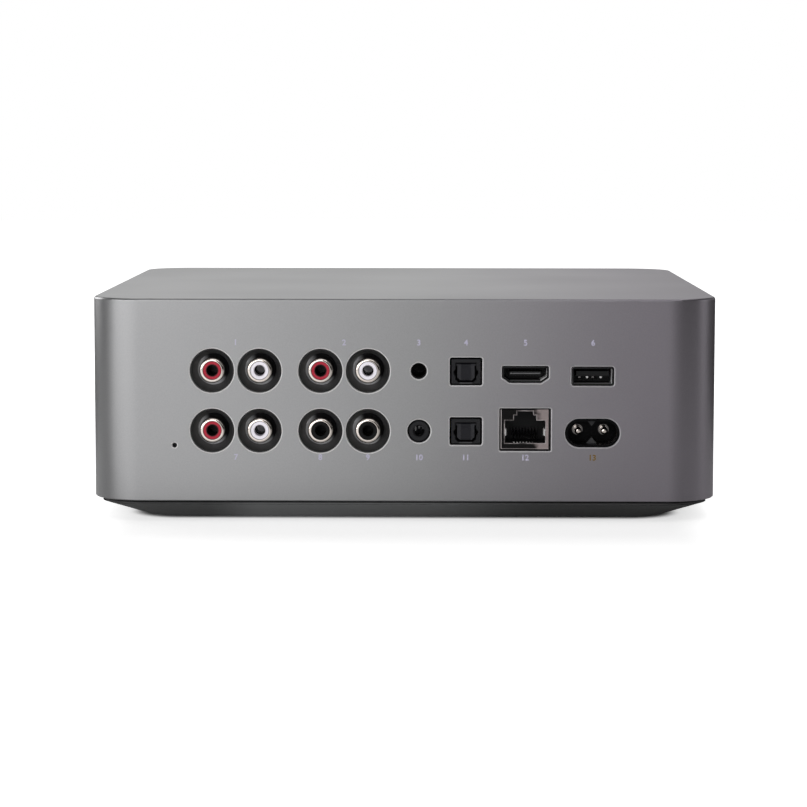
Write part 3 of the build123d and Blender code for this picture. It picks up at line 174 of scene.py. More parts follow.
clear_of_corner = add(tree, "Math", {0: from_middle, 1: BEVELS_WITHIN}, operation="LESS_THAN")
clear_of_edges = add(tree, "Math", {0: spot.outputs["Z"], 1: BEVELS_UP, 2: BEVELS_TALL}, operation="COMPARE")
for mask in (at_rear, clear_of_corner, clear_of_edges):
    bevel = add(tree, "Math", {0: bevel, 1: mask}, operation="MULTIPLY")
# Bevel tone: a painted highlight, pale on the key's side and darkened by painted shade towards the mains
# inlet.
bevel_tone_painted_shade = add(tree, "Mix", {"Factor": painted_cast_share, "A": linear("#CDCCCC"), "B": linear("#A3A0A4")},
            data_type="RGBA")
overlay(shader, tone, (painted_cast_share, painted_cast_tone), (bevel, bevel_tone_painted_shade))
feed(shader, {
    "Metallic": add(tree, "MapRange", {"Value": bevel, "To Min": 1.0, "To Max": 0.15}),
    "Roughness": add(tree, "MapRange", {"Value": patches, "From Min": 0.3, "From Max": 0.7,
                                        "To Min": 0.32, "To Max": 0.36}),
    "Normal": add(tree, "Bump", {"Height": grain, "Strength": 0.06, "Distance": 0.00005,
                                 "Normal": smooth_case_normal(tree, place)})})
dress(anodised, "housing", "rear_wall_audio", "rear_wall_data", "front_wall")

# Base: a tray moulded in a black ABS blend and let into the casing. Its skirt is a spark-textured dull dark
# grey, with painted shade at both ends. The step of the gap under the casing is painted black as its shadow.
SKIRT_TOP = 5.8
SPARK_GRAIN = 0.5  # real spark texture is about 0.15 mm
moulding, tree, shader, place, grain, tone = grained(
    "abs_blend_spark_textured", SPARK_GRAIN, 4.0, "#585959", "#656667", (0.42, 0.62), IOR=1.5)
spot = add(tree, "SeparateXYZ", {"Vector": place})
# Painted shade, darker towards both ends of the skirt.
left_painted_shade = add(tree, "MapRange", {"Value": spot.outputs["X"], "From Min": 46.0, "From Max": 66.0,
                                  "To Max": 0.6}, interpolation_type="SMOOTHSTEP")
right_painted_shade = add(tree, "MapRange", {"Value": spot.outputs["X"], "From Min": -5.0, "From Max": -50.0,
                                   "To Max": 0.66}, interpolation_type="SMOOTHSTEP")
ends_painted_shade = add(tree, "Math", {0: left_painted_shade, 1: right_painted_shade}, operation="MAXIMUM")
# Painted shadow: the step under the casing, up from the skirt's top, is coloured near black and loses its
# shine.
seam_painted_shadow = add(tree, "MapRange", {"Value": spot.outputs["Z"], "From Min": SKIRT_TOP + 0.2,
                                 "From Max": SKIRT_TOP + 0.8})
overlay(shader, tone, (ends_painted_shade, "#101010"), (seam_painted_shadow, "#050505"))
feed(shader, {
    "Specular IOR Level": add(tree, "MapRange", {"Value": seam_painted_shadow, "To Min": 0.5, "To Max": 0.02}),
    "Normal": add(tree, "Bump", {"Height": grain, "Strength": 0.35, "Distance": 0.00008})})
dress(moulding, "base_tray")

# Foot: one pad of black silicone rubber, let into the underside of the base and held by adhesive. Its
# moulded stipple keeps it dull and stops it from slipping.
PAD_STIPPLE = 0.9
rubber, tree, shader, place = new_material("silicone_rubber_stippled", Roughness=0.85, IOR=1.43)
stipple = add(tree, "TexVoronoi", {"Vector": place, "Scale": 1 / PAD_STIPPLE})
overlay(shader, linear("#232324"), (stipple, "#1A1A1B"))
feed(shader, {"Normal": add(tree, "Bump", {"Height": stipple, "Strength": 0.4, "Distance": 0.0001})})
dress(rubber, "foot_pad")

# Screws, the encoder's nut and its shaft: turned steel, zinc plated. The base screws go up into the casing's
# posts, the inner ones hold the boards. The plating has a faint spangle and a soft shine.
SPANGLE = 0.8
zinc = grained("steel_zinc_plated", SPANGLE, 2.0, "#A9ABB0", "#C6C8CC", (0.25, 0.42), Metallic=1.0)[0]
dress(zinc, "base_screws", "inner_screws", "encoder_nut", "encoder_shaft")

# Circuit boards: glass-fibre laminate under a dark green solder mask. The copper tracks stand under the mask
# as a faint lighter net of straight runs, and the mask gives them a gloss.
TRACK_PITCH = 2.4
laminate, tree, shader, place = new_material(
    "glass_fibre_laminate_solder_mask", Roughness=0.28, IOR=1.5, Coat_Weight=0.4, Coat_Roughness=0.1)
tracks = add(tree, "TexBrick", {
    "Vector": place, "Scale": 1 / TRACK_PITCH, "Color1": linear("#0E3B24"), "Color2": linear("#12482C"),
    "Mortar": linear("#1E6A40"), "Mortar Size": 0.06, "Brick Width": 2.6, "Row Height": 0.8},
    offset=0.37, offset_frequency=3, squash=1.7, squash_frequency=4)
relief = add(tree, "Bump", {"Height": tracks.outputs["Fac"], "Strength": 0.3, "Distance": 0.00004})
feed(shader, {"Base Color": tracks, "Normal": relief})
dress(laminate, "main_board", "power_board", "digital_board", "front_board")

# Pillars that carry the upper board: turned brass, screwed into the lower one. Handling leaves the bare
# metal a warm yellow with a slightly uneven shine.
brass = grained("brass_rolled_plated", 0.5, 2.0, "#C9A25C", "#DDBB7A", (0.2, 0.34), Metallic=1.0)[0]
dress(brass, "digital_pillars")

# Phono blocks: glass-filled black nylon, moulded with four funnel-shaped cups each and pressed against the
# rear wall. The moulded texture greys the cups' slopes and floors. Near the mouth the cups have painted
# shade, and each floor a painted light, pale on one side and painted black as shadow on the side where the
# collar keeps the light off.


def phono_offset(tree, place):
    """Offset in X and Z from the centre line of the nearest phono socket, as a Combine node.

    X is wrapped by the blocks' spacing and then by the sockets' pitch in a block, Z by the rows' pitch.
    """
    spot = add(tree, "SeparateXYZ", {"Vector": place})
    from_block = add(tree, "Math", {0: spot.outputs["X"], 1: PHONO_BLOCK_X}, operation="SUBTRACT")
    in_block = add(tree, "Math", {0: from_block, 1: PHONO_BLOCK_SPACING / 2, 2: -PHONO_BLOCK_SPACING / 2},
                   operation="WRAP")
    in_cup = add(tree, "Math", {0: in_block, 1: PHONO_PITCH, 2: 0.0}, operation="WRAP")
    across = add(tree, "Math", {0: in_cup, 1: PHONO_PITCH / 2}, operation="SUBTRACT")
    from_row = add(tree, "Math", {0: spot.outputs["Z"], 1: PHONO_LOW_ROW}, operation="SUBTRACT")
    up = add(tree, "Math", {0: from_row, 1: PHONO_ROW_PITCH / 2, 2: -PHONO_ROW_PITCH / 2}, operation="WRAP")
    return add(tree, "CombineXYZ", {"X": across, "Z": up})


PHONO_BLOCK_X, PHONO_BLOCK_SPACING = 54.72, 35.29
PHONO_PITCH, PHONO_LOW_ROW, PHONO_ROW_PITCH = 15.45, 30.3, 19.6
PAINTED_MOUTH_SHADE_FROM, PAINTED_MOUTH_SHADE_TO = REAR - 5.5, REAR - 1.0
CUP_FLOOR_FROM, CUP_FLOOR_TO = REAR - 6.6, REAR - 7.4
SHADED_SIDE = (-0.75, 0.0, 0.66)
NYLON_GRAIN = 0.6
nylon, tree, shader, place, grain, tone = grained(
    "nylon_glass_filled_moulded", NYLON_GRAIN, 3.0, "#515152", "#5C5C5D", (0.38, 0.55), IOR=1.53)
spot = add(tree, "SeparateXYZ", {"Vector": place})
# Painted shade on the cups' slopes near the mouth.
mouth_painted_shade = add(tree, "MapRange", {"Value": spot.outputs["Y"], "From Min": PAINTED_MOUTH_SHADE_FROM,
                                    "From Max": PAINTED_MOUTH_SHADE_TO, "To Max": 0.9})
# Painted light and shadow on the cups' floors: pale away from the shaded side, black towards it.
on_floor = add(tree, "MapRange", {"Value": spot.outputs["Y"], "From Min": CUP_FLOOR_FROM,
                                  "From Max": CUP_FLOOR_TO})
towards = add(tree, "VectorMath", {0: phono_offset(tree, place)}, operation="NORMALIZE")
to_shade = add(tree, "VectorMath", {0: towards, 1: SHADED_SIDE}, operation="DOT_PRODUCT")
painted_shadow_side = add(tree, "MapRange", {"Value": to_shade, "From Min": -0.45, "From Max": 0.45},
               interpolation_type="SMOOTHSTEP")
floor_painted_light_and_shadow = add(tree, "Mix", {"Factor": painted_shadow_side, "A": linear("#BEBEC0"), "B": linear("#070708")},
                 data_type="RGBA")
overlay(shader, tone, (mouth_painted_shade, "#0A0A0A"), (on_floor, floor_painted_light_and_shadow))
feed(shader, {
    "Specular IOR Level": add(tree, "MapRange", {"Value": on_floor, "To Min": 0.4, "To Max": 0.05}),
    "Normal": add(tree, "Bump", {"Height": grain, "Strength": 0.15, "Distance": 0.00005})})
dress(nylon, "rca_block_left", "rca_block_right")

# Phono collars: drawn brass tubes, nickel plated, moulded into the blocks. The plug's shell grips them, and
# drawing and wear leave a bright, slightly warm mirror.


def drawn_nickel(name):
    """Nickel-plated drawn brass, the finish of everything here that a plug grips or meets."""
    return grained(name, 0.7, 2.0, "#D8CCC4", "#EDE6DF", (0.08, 0.14), Metallic=1.0)


dress(drawn_nickel("brass_nickel_plated_drawn")[0], "rca_barrels_left", "rca_barrels_right")

# Phono insulators: glossy ABS rings pressed into the collars, red for right, white for left and black for
# digital. The outer rim and the centre hole have painted shade, as little light gets in there.
FLOW_MARK = 2.5
INSERT_RIM_FROM, INSERT_RIM_TO, INSERT_HOLE_FROM, INSERT_HOLE_TO = 2.82, 2.95, 2.2, 1.95
for name, dark, light, rim_shade_tone, hole_shade_tone, shine, node in (
    ("abs_glossy_red", "#98182A", "#A82438", "#5E282D", "#220306", 0.2, "rca_inserts_red"),
    ("abs_glossy_white", "#DAD6DE", "#E4E0E8", "#6E696F", "#C3BFC6", 0.5, "rca_inserts_white"),
    ("abs_glossy_black", "#0A0A0B", "#0F0F10", "#0E0D0E", "#010102", 0.1, "rca_inserts_black"),
):
    insulator, tree, shader, place, _, tone = grained(
        name, FLOW_MARK, 3.0, dark, light, (0.26, 0.4), IOR=1.54, Specular_IOR_Level=shine)
    # Painted shade at the outer rim and round the centre hole.
    radius = add(tree, "VectorMath", {0: phono_offset(tree, place)}, operation="LENGTH")
    rim_painted_shade = add(tree, "MapRange", {"Value": radius, "From Min": INSERT_RIM_FROM,
                                       "From Max": INSERT_RIM_TO})
    hole_painted_shade = add(tree, "MapRange", {"Value": radius, "From Min": INSERT_HOLE_FROM,
                                        "From Max": INSERT_HOLE_TO})
    overlay(shader, tone, (rim_painted_shade, rim_shade_tone), (hole_painted_shade, hole_shade_tone))
    dress(insulator, node)

# Contacts deep inside the phono and ground sockets: stamped phosphor bronze, sprung round the plug's pin.
# Their colour is painted near black, for the shade that deep in the sockets.
bronze_painted_shade = grained("phosphor_bronze_painted_shade", 0.8, 3.0, "#0B0807", "#14100E", (0.3, 0.5), Metallic=1.0)[0]
dress(bronze_painted_shade, "rca_contacts", "ground_contact")

# Trigger contacts: stamped leaves with a matt white tin plate, at the bottom of the round socket, where they
# catch the light as small pale spots.
bright_tin = grained("tin_plate_matt_white", 0.6, 3.0, "#D9D7D6", "#F6F5F4", (0.3, 0.45),
                     Metallic=0.25, Specular_IOR_Level=0.8)[0]
dress(bright_tin, "trigger_contacts")

# Round and optical socket bodies and the reset switch: matt black moulded nylon, soldered to the boards. The
# optical ones have a lip under the mouth whose edge has a painted highlight as a short grey line.
OPTICAL_X = -20.2
OPTICAL_LIPS_UP, LIP_HALF_TALL, LIP_HALF_WIDE = (45.98, 26.48), 0.17, 2.05
socket_black, tree, shader, place, _, tone = grained(
    "nylon_moulded_matt", NYLON_GRAIN, 3.0, "#18181A", "#212123", (0.4, 0.6),
    IOR=1.5, Specular_IOR_Level=0.15)
spot = add(tree, "SeparateXYZ", {"Vector": place})
# Painted highlight along the optical sockets' lips.
upper, lower = (add(tree, "Math", {0: spot.outputs["Z"], 1: up, 2: LIP_HALF_TALL}, operation="COMPARE")
                for up in OPTICAL_LIPS_UP)
lip_painted_highlight = add(tree, "Math", {0: upper, 1: lower}, operation="MAXIMUM")
middle = add(tree, "Math", {0: spot.outputs["X"], 1: OPTICAL_X, 2: LIP_HALF_WIDE}, operation="COMPARE")
lip_painted_highlight = add(tree, "Math", {0: lip_painted_highlight, 1: middle}, operation="MULTIPLY")
overlay(shader, tone, (lip_painted_highlight, "#444445"))
dress(socket_black, "ground_socket", "trigger_jack", "headphone_jack", "optical_in_body", "optical_out_body",
      "reset_switch")

# Optical shutters, reset button and encoder rotor: smooth black acetal, which slides well on its axles. The
# shutters are slightly bluer than the bodies round them, with a middle panel that the mould left darker.
SHUTTER_PANEL_HALF = 1.6
acetal, tree, shader, place, _, tone = grained(
    "acetal_moulded_shutter", 0.8, 2.0, "#28282B", "#303033", (0.34, 0.46),
    IOR=1.48, Specular_IOR_Level=0.15)
spot = add(tree, "SeparateXYZ", {"Vector": place})
panel_part = add(tree, "Math", {0: spot.outputs["X"], 1: OPTICAL_X, 2: SHUTTER_PANEL_HALF},
                 operation="COMPARE")
overlay(shader, tone, (panel_part, "#1A1A1E"))
dress(acetal, "optical_in_shutter", "optical_out_shutter", "reset_plunger", "encoder_rotor")

# Screening can, radio module, display bracket and encoder body: folded tin-plated steel sheet, soldered or
# screwed in place. The plating has its cloudy grey bloom.
sheet_steel = grained("sheet_steel_tin_plated_folded", 1.6, 4.0, "#8F8585", "#A89F9D", (0.22, 0.36),
                      Metallic=1.0)[0]
dress(sheet_steel, "processor_shield", "wireless_module", "display_bracket", "encoder_body")

# Shells of the video and data sockets: folded steel, dark outside and on their cut rims. Inside, the wall
# that faces the light has a painted white highlight, and the front edge of the floor a fainter one.
VIDEO_ACROSS, VIDEO_UP = 39.5, 48.85
DATA_ACROSS, DATA_UP = 61.4, 48.3
PAINTED_HIGHLIGHT_REACH = 4.5
steel_painted_highlights, tree, shader, place, _, tone = grained(
    "sheet_steel_dark_painted_highlights", 0.9, 4.0, "#0E0E0F", "#1B1B1C", (0.3, 0.5), IOR=1.5)
facing = add(tree, "SeparateXYZ", {"Vector": add(tree, "NewGeometry").outputs["True Normal"]})
spot = add(tree, "SeparateXYZ", {"Vector": place})
# Painted highlights: white on the inner wall facing the light, grey on the floor's front edge.
wall_painted_highlight = add(tree, "Math", {0: facing.outputs["X"], 1: 0.35}, operation="GREATER_THAN")
level = add(tree, "Math", {0: facing.outputs["Z"], 1: 0.9}, operation="GREATER_THAN")
front_edge = add(tree, "Math", {0: spot.outputs["Y"], 1: REAR - PAINTED_HIGHLIGHT_REACH}, operation="GREATER_THAN")
floor_painted_highlight = add(tree, "Math", {0: level, 1: front_edge}, operation="MULTIPLY")
overlay(shader, tone, (floor_painted_highlight, "#7A7A7B"), (wall_painted_highlight, "#F4F4F4"))
shine = add(tree, "MapRange", {"Value": wall_painted_highlight, "To Min": 0.12, "To Max": 0.8})
feed(shader, {"Specular IOR Level": shine})
dress(steel_painted_highlights, "hdmi_shell", "usb_shell")

# Tongues of the video and data sockets and the network socket's insert: black liquid-crystal polymer, which
# keeps thin walls true. The front edge of the video socket's tongue has a painted highlight as a grey line.
EDGE_UP, EDGE_HALF_TALL, EDGE_HALF_LONG = VIDEO_UP + 0.24, 0.11, 4.9
tongue_black, tree, shader, place, _, tone = grained(
    "liquid_crystal_polymer_black", 0.35, 3.0, "#0F0F10", "#171718", (0.36, 0.5),
    IOR=1.6, Specular_IOR_Level=0.12)
spot = add(tree, "SeparateXYZ", {"Vector": place})
# Painted highlight along the front edge of the video socket's tongue.
height = add(tree, "Math", {0: spot.outputs["Z"], 1: EDGE_UP, 2: EDGE_HALF_TALL}, operation="COMPARE")
length = add(tree, "Math", {0: spot.outputs["X"], 1: -VIDEO_ACROSS, 2: EDGE_HALF_LONG}, operation="COMPARE")
edge_painted_highlight = add(tree, "Math", {0: height, 1: length}, operation="MULTIPLY")
overlay(shader, tone, (edge_painted_highlight, "#727274"))
dress(tongue_black, "hdmi_tongue", "usb_tongue", "lan_insert")

# Contacts of the video socket: nineteen bronze leaves in two rows, laid on both faces of the tongue and bowed
# up near its front, where the plug's contacts slide over them.


def make_piece(name, points, faces, material, body, slot):
    """Mesh piece from points in millimetres (n x 3) and lists of corner numbers, riding on a CAD body."""
    mesh = bpy.data.meshes.new(name)
    mesh.from_pydata((np.asarray(points) / 1000.0).tolist(), [], [list(map(int, face)) for face in faces])
    mesh.update()
    mesh.materials.append(material)
    piece = bpy.data.objects.new(name, mesh)
    bpy.context.scene.collection.objects.link(piece)
    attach(piece, body)
    return piece


def carried(path, width, thickness, corner):
    """A rounded strip section carried along a path in planes of constant X, with flat ends.

    The section is a rectangle, width along X and thickness along the path's normal, whose corners are
    quarter circles. Point (i, j) = path point i + section x of j along X + section z of j along the normal
    of i, which is the path's tangent turned by a quarter. Returns points and faces.
    """
    turns = np.linspace(0.0, math.pi / 2, 4)
    quarter = corner * np.stack([np.cos(turns), np.sin(turns)], axis=1)
    signs = np.array([(1, 1), (-1, 1), (-1, -1), (1, -1)])
    arcs = np.stack([quarter, quarter[::-1], quarter, quarter[::-1]])
    half = np.array([width / 2 - corner, thickness / 2 - corner])
    section = ((arcs + half) * signs[:, None, :]).reshape(-1, 2)
    path = np.asarray(path, float)
    tangent = np.gradient(path, axis=0)
    tangent /= np.linalg.norm(tangent, axis=1, keepdims=True)
    normal = np.stack([np.zeros(len(path)), -tangent[:, 2], tangent[:, 1]], axis=1)
    points = (path[:, None, :] + section[None, :, :1] * np.array([1.0, 0.0, 0.0])
              + section[None, :, 1:] * normal[:, None, :])
    rows, columns = points.shape[:2]
    i, j = np.meshgrid(np.arange(rows - 1), np.arange(columns), indexing="ij")
    k = (j + 1) % columns
    here, ahead = i * columns, (i + 1) * columns
    quads = np.stack([here + j, here + k, ahead + k, ahead + j], axis=-1)
    faces = quads.reshape(-1, 4).tolist()
    faces.append(list(range(columns))[::-1])
    faces.append(list(range((rows - 1) * columns, rows * columns)))
    return points.reshape(-1, 3), faces


def joined(pieces):
    """Several (points, faces) pairs as one pair."""
    points, faces, count = [], [], 0
    for some_points, some_faces in pieces:
        points.append(some_points)
        faces += [[corner + count for corner in face] for face in some_faces]
        count += len(some_points)
    return np.concatenate(points), faces


VIDEO_PITCH, VIDEO_TONGUE_RISE, VIDEO_TONGUE_HALF = 1.0, 0.2, 0.65
VIDEO_LEAF_WIDTH, VIDEO_LEAF_SHEET = 0.42, 0.14
tongue_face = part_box("hdmi_tongue")[1][1] * 1000
leaves = []
for count, side in ((10, 1), (9, -1)):
    surface = VIDEO_UP + VIDEO_TONGUE_RISE + side * VIDEO_TONGUE_HALF
    for number in range(count):
        x = -VIDEO_ACROSS + (number - (count - 1) / 2) * VIDEO_PITCH
        reach = np.linspace(0.35, 8.0, 12)
        lift = 0.12 * np.exp(-((reach - 1.6) / 0.8) ** 2) + 0.06
        path = np.stack([np.full(12, x), tongue_face - reach, surface + side * lift], axis=1)
        leaves.append(carried(path, VIDEO_LEAF_WIDTH, VIDEO_LEAF_SHEET, 0.05))
# The leaves take the contacts' colour, painted near black as shade.
make_piece("hdmi_contacts", *joined(leaves), bronze_painted_shade, "chassis", "contact_brass")

# Contacts of the network and data sockets: tin-plated spring wires and leaves. The plating is grey, but the
# bends of the network socket's wires, which stand nearest the light, have a painted white highlight. The
# data socket's four leaves lie under its tongue, two grey ones for the supply and two brighter ones for data.
BENDS_REACH, BENDS_X = 2.5, -38.6
tin, tree, shader, place, _, tone = grained(
    "steel_tin_plated", 1.2, 3.0, "#6D6766", "#858080", (0.2, 0.34), Metallic=1.0)
spot = add(tree, "SeparateXYZ", {"Vector": place})
# Painted highlight on the wires' bends, fading across the row.
bend_painted_highlight = add(tree, "Math", {0: spot.outputs["Y"], 1: REAR - BENDS_REACH}, operation="GREATER_THAN")
near_middle = add(tree, "MapRange", {"Value": spot.outputs["X"], "From Min": BENDS_X - 4.2,
                                     "From Max": BENDS_X - 0.4, "To Min": 0.15, "To Max": 1.0})
bend_painted_highlight = add(tree, "Math", {0: bend_painted_highlight, 1: near_middle}, operation="MULTIPLY")
overlay(shader, tone, (bend_painted_highlight, "#FFFDFB"))
feed(shader, {"Metallic": add(tree, "MapRange", {"Value": bend_painted_highlight, "To Min": 1.0, "To Max": 0.1})})
dress(tin, "lan_contacts")

DATA_TONGUE_RISE, DATA_TONGUE_HALF = 0.7, 0.8
DATA_LEAF_WIDTH, DATA_LEAF_SHEET = 0.75, 0.3
usb_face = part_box("usb_tongue")[1][1] * 1000
for name, offsets, metal in (
    ("usb_contacts_supply", (4.25, -0.1), tin), ("usb_contacts_data", (1.75, -2.7), bright_tin),
):
    leaves = []
    for offset in offsets:
        reach = np.linspace(0.1, 8.5, 18)
        drop = 0.5 * np.exp(-((reach - 0.7) / 0.6) ** 2) + 0.1
        path = np.stack([np.full(18, -DATA_ACROSS + offset), usb_face - reach,
                         DATA_UP + DATA_TONGUE_RISE - DATA_TONGUE_HALF - drop], axis=1)
        leaves.append(carried(path, DATA_LEAF_WIDTH, DATA_LEAF_SHEET, 0.12))
    make_piece(name, *joined(leaves), metal, "chassis", "contact_brass")

# Network socket's can: polished tin-plated steel, folded round the insert. Its flat face mirrors the dark
# side of the room on one half and the pale side on the other. That image is painted into the plating as a
# cloudy change from dark to pale, with painted highlights as patchy pale lines on the stamped bead round
# the stepped mouth and along the can's left and lower edges, and painted shade on its turned sides.
LAN_ACROSS, LAN_UP = 39.5, 30.8
# For each step of the mouth: the height of its middle, half its width and half its height.
LAN_MOUTH_STEPS = ((30.1, 6.6, 3.7), (34.4, 3.65, 1.1), (35.9, 2.6, 0.95))
LAN_CLOUD = 2.2
can_steel, tree, shader, place = new_material("sheet_steel_tin_plated_polished", IOR=1.5, Metallic=0.35)
bloom = add(tree, "TexNoise", {"Vector": place, "Scale": 1 / LAN_CLOUD, "Detail": 4.0})
spot = add(tree, "SeparateXYZ", {"Vector": place})
drift = add(tree, "MapRange", {"Value": bloom, "From Min": 0.3, "From Max": 0.7, "To Min": -1.3,
                               "To Max": 1.3})
along = add(tree, "Math", {0: spot.outputs["X"], 1: drift}, operation="ADD")
pale_share = add(tree, "MapRange", {"Value": along, "From Min": -LAN_ACROSS - 2.2,
                                    "From Max": -LAN_ACROSS - 5.4}, interpolation_type="SMOOTHSTEP")
outline = 1000.0  # further out than any point of the can
for middle_up, half_wide, half_tall in LAN_MOUTH_STEPS:
    offset = add(tree, "VectorMath", {0: place, 1: (-LAN_ACROSS, 0.0, middle_up)}, operation="SUBTRACT")
    offset = add(tree, "VectorMath", {0: offset}, operation="ABSOLUTE")
    offset = add(tree, "SeparateXYZ", {"Vector": offset})
    wide = add(tree, "Math", {0: offset.outputs["X"], 1: half_wide}, operation="SUBTRACT")
    tall = add(tree, "Math", {0: offset.outputs["Z"], 1: half_tall}, operation="SUBTRACT")
    from_step = add(tree, "Math", {0: wide, 1: tall}, operation="MAXIMUM")
    outline = add(tree, "Math", {0: outline, 1: from_step}, operation="MINIMUM")
# Painted highlight on the stamped bead, broken up by the cloud.
bead_painted_highlight = add(tree, "Math", {0: outline, 1: 0.12, 2: 0.13}, operation="COMPARE")
bead_highlight_breakup = add(tree, "MapRange", {"Value": bloom, "From Min": 0.35, "From Max": 0.65, "To Min": 0.15,
                              "To Max": 1.0})
bead_painted_highlight = add(tree, "Math", {0: bead_painted_highlight, 1: bead_highlight_breakup}, operation="MULTIPLY")
# Painted highlights along the can's left and lower edges.
left_edge = add(tree, "Math", {0: spot.outputs["X"], 1: -LAN_ACROSS + 7.8, 2: 0.12}, operation="COMPARE")
low_edge = add(tree, "Math", {0: spot.outputs["Z"], 1: LAN_UP - 6.2, 2: 0.1}, operation="COMPARE")
low_edge = add(tree, "Math", {0: low_edge, 1: 0.45}, operation="MULTIPLY")
for edge_painted_highlight in (left_edge, low_edge):
    bead_painted_highlight = add(tree, "Math", {0: bead_painted_highlight, 1: edge_painted_highlight}, operation="MAXIMUM")
# Painted shade on the can's turned sides.
turned_right = add(tree, "Math", {0: spot.outputs["X"], 1: -LAN_ACROSS - 7.6}, operation="LESS_THAN")
turned_down = add(tree, "Math", {0: spot.outputs["Z"], 1: LAN_UP - 6.35}, operation="LESS_THAN")
turned = add(tree, "Math", {0: turned_right, 1: turned_down}, operation="MAXIMUM")
overlay(shader, linear("#100F0F"), (pale_share, "#847978"), (bead_painted_highlight, "#A29B9B"), (turned, "#080808"))
feed(shader, {
    "Specular IOR Level": add(tree, "MapRange", {"Value": pale_share, "To Min": 0.1, "To Max": 0.4}),
    "Roughness": add(tree, "MapRange", {"Value": bloom, "To Min": 0.3, "To Max": 0.5})})
dress(can_steel, "lan_shell")

# Inside the network socket: the can's two sprung tabs of bright tin plate, which earth the plug from both
# sides, and the insert's moulded comb, whose teeth keep the eight wires apart.
LAN_MIDDLE, LAN_MOUTH_HALF, LAN_MOUTH_HALF_TALL = LAN_MOUTH_STEPS[0]
LAN_FLOOR = LAN_MIDDLE - LAN_MOUTH_HALF_TALL
TAB_LOW, TAB_HIGH, TAB_SHEET = 2.4, 4.6, 0.12


def earth_tab(side):
    """A sprung tab on one side of the mouth, bowed inwards as half a sine along its reach.

    Its four long edges, inner and outer, low and high, are rows of 12 points. Its faces are the four strips
    between them and the two ends. Returns points and faces.
    """
    reach = np.linspace(0.5, 7.5, 12)
    bow = 0.55 * np.sin(np.clip(reach / 6.0, 0, 1) * math.pi) + 0.1
    x = -LAN_ACROSS + side * (LAN_MOUTH_HALF - bow)
    low, high = (np.stack([x, REAR - reach, np.full(12, LAN_FLOOR + up)], axis=1)
                 for up in (TAB_LOW, TAB_HIGH))
    sheet = np.array([side * TAB_SHEET, 0.0, 0.0])
    points = np.concatenate([low, high, low + sheet, high + sheet])
    strips = np.array([[0, 1, 13, 12], [24, 36, 37, 25], [0, 24, 25, 1], [12, 13, 37, 36]])
    quads = (strips[None] + np.arange(11)[:, None, None]).reshape(-1, 4)
    faces = np.concatenate([quads, [[0, 12, 36, 24], [11, 35, 47, 23]]])
    return points, (faces[:, ::-1] if side < 0 else faces).tolist()


make_piece("lan_earth_tabs", *joined([earth_tab(-1), earth_tab(1)]), bright_tin, "chassis", "shell_steel")

COMB_PITCH, TOOTH_WIDTH, TOOTH_DEPTH = 1.02, 0.4, 1.6
# A tooth's middle line, from the rear wall's face and the mouth's floor.
TOOTH_LINE = np.array([(0.0, -12.4, 1.5), (0.0, -12.0, 3.2), (0.0, -12.2, 4.0)])
teeth = []
for number in range(9):
    x = -LAN_ACROSS + (number - 4) * COMB_PITCH
    teeth.append(carried(TOOTH_LINE + (x, REAR, LAN_FLOOR), TOOTH_WIDTH, TOOTH_DEPTH, 0.1))
make_piece("lan_comb", *joined(teeth), tongue_black, "chassis", "socket_moulding")

# Mains inlet: a well moulded in black polyamide, painted near black for the shade that deep in it, and the
# flat ends of its two ridges, which stand nearest the light, have a painted dark-grey light. Its two pins are
# nickel plated as the phono collars are, and their seats round the foot are duller.
INLET_RIDGE_END = REAR - 5.3
INLET_ACROSS, INLET_UP, PIN_PITCH, PIN_RADIUS = 61.4, 29.75, 8.6, 1.18
# The well's colour is painted near black as the shade in it.
polyamide_painted_shade, tree, shader, place, _, tone = grained(
    "polyamide_moulded", 3.0, 3.0, "#050506", "#0B0B0C", (0.2, 0.34), IOR=1.53, Specular_IOR_Level=0.06)
facing = add(tree, "SeparateXYZ", {"Vector": add(tree, "NewGeometry").outputs["True Normal"]})
spot = add(tree, "SeparateXYZ", {"Vector": place})
# Painted light on the front-facing ends of the ridges.
front_facing = add(tree, "Math", {0: facing.outputs["Y"], 1: 0.9}, operation="GREATER_THAN")
at_ridge = add(tree, "Math", {0: spot.outputs["Y"], 1: INLET_RIDGE_END, 2: 0.3}, operation="COMPARE")
ridge_painted_light = add(tree, "Math", {0: front_facing, 1: at_ridge}, operation="MULTIPLY")
overlay(shader, tone, (ridge_painted_light, "#3A3A3B"))
dress(polyamide_painted_shade, "power_inlet")

pin_nickel, tree, shader, place, _, tone = drawn_nickel("brass_nickel_plated_pins")
from_inlet = add(tree, "VectorMath", {0: place, 1: (-INLET_ACROSS, 0.0, INLET_UP)}, operation="SUBTRACT")
from_inlet = add(tree, "VectorMath", {0: from_inlet}, operation="ABSOLUTE")
side = add(tree, "SeparateXYZ", {"Vector": from_inlet})
from_pin = add(tree, "Math", {0: side.outputs["X"], 1: PIN_PITCH / 2}, operation="SUBTRACT")
pin_offset = add(tree, "CombineXYZ", {"X": from_pin, "Z": side.outputs["Z"]})
pin_radius = add(tree, "VectorMath", {0: pin_offset}, operation="LENGTH")
seat = add(tree, "Math", {0: pin_radius, 1: PIN_RADIUS + 0.04}, operation="GREATER_THAN")
overlay(shader, tone, (seat, "#7C7876"))
dress(pin_nickel, "power_pins")

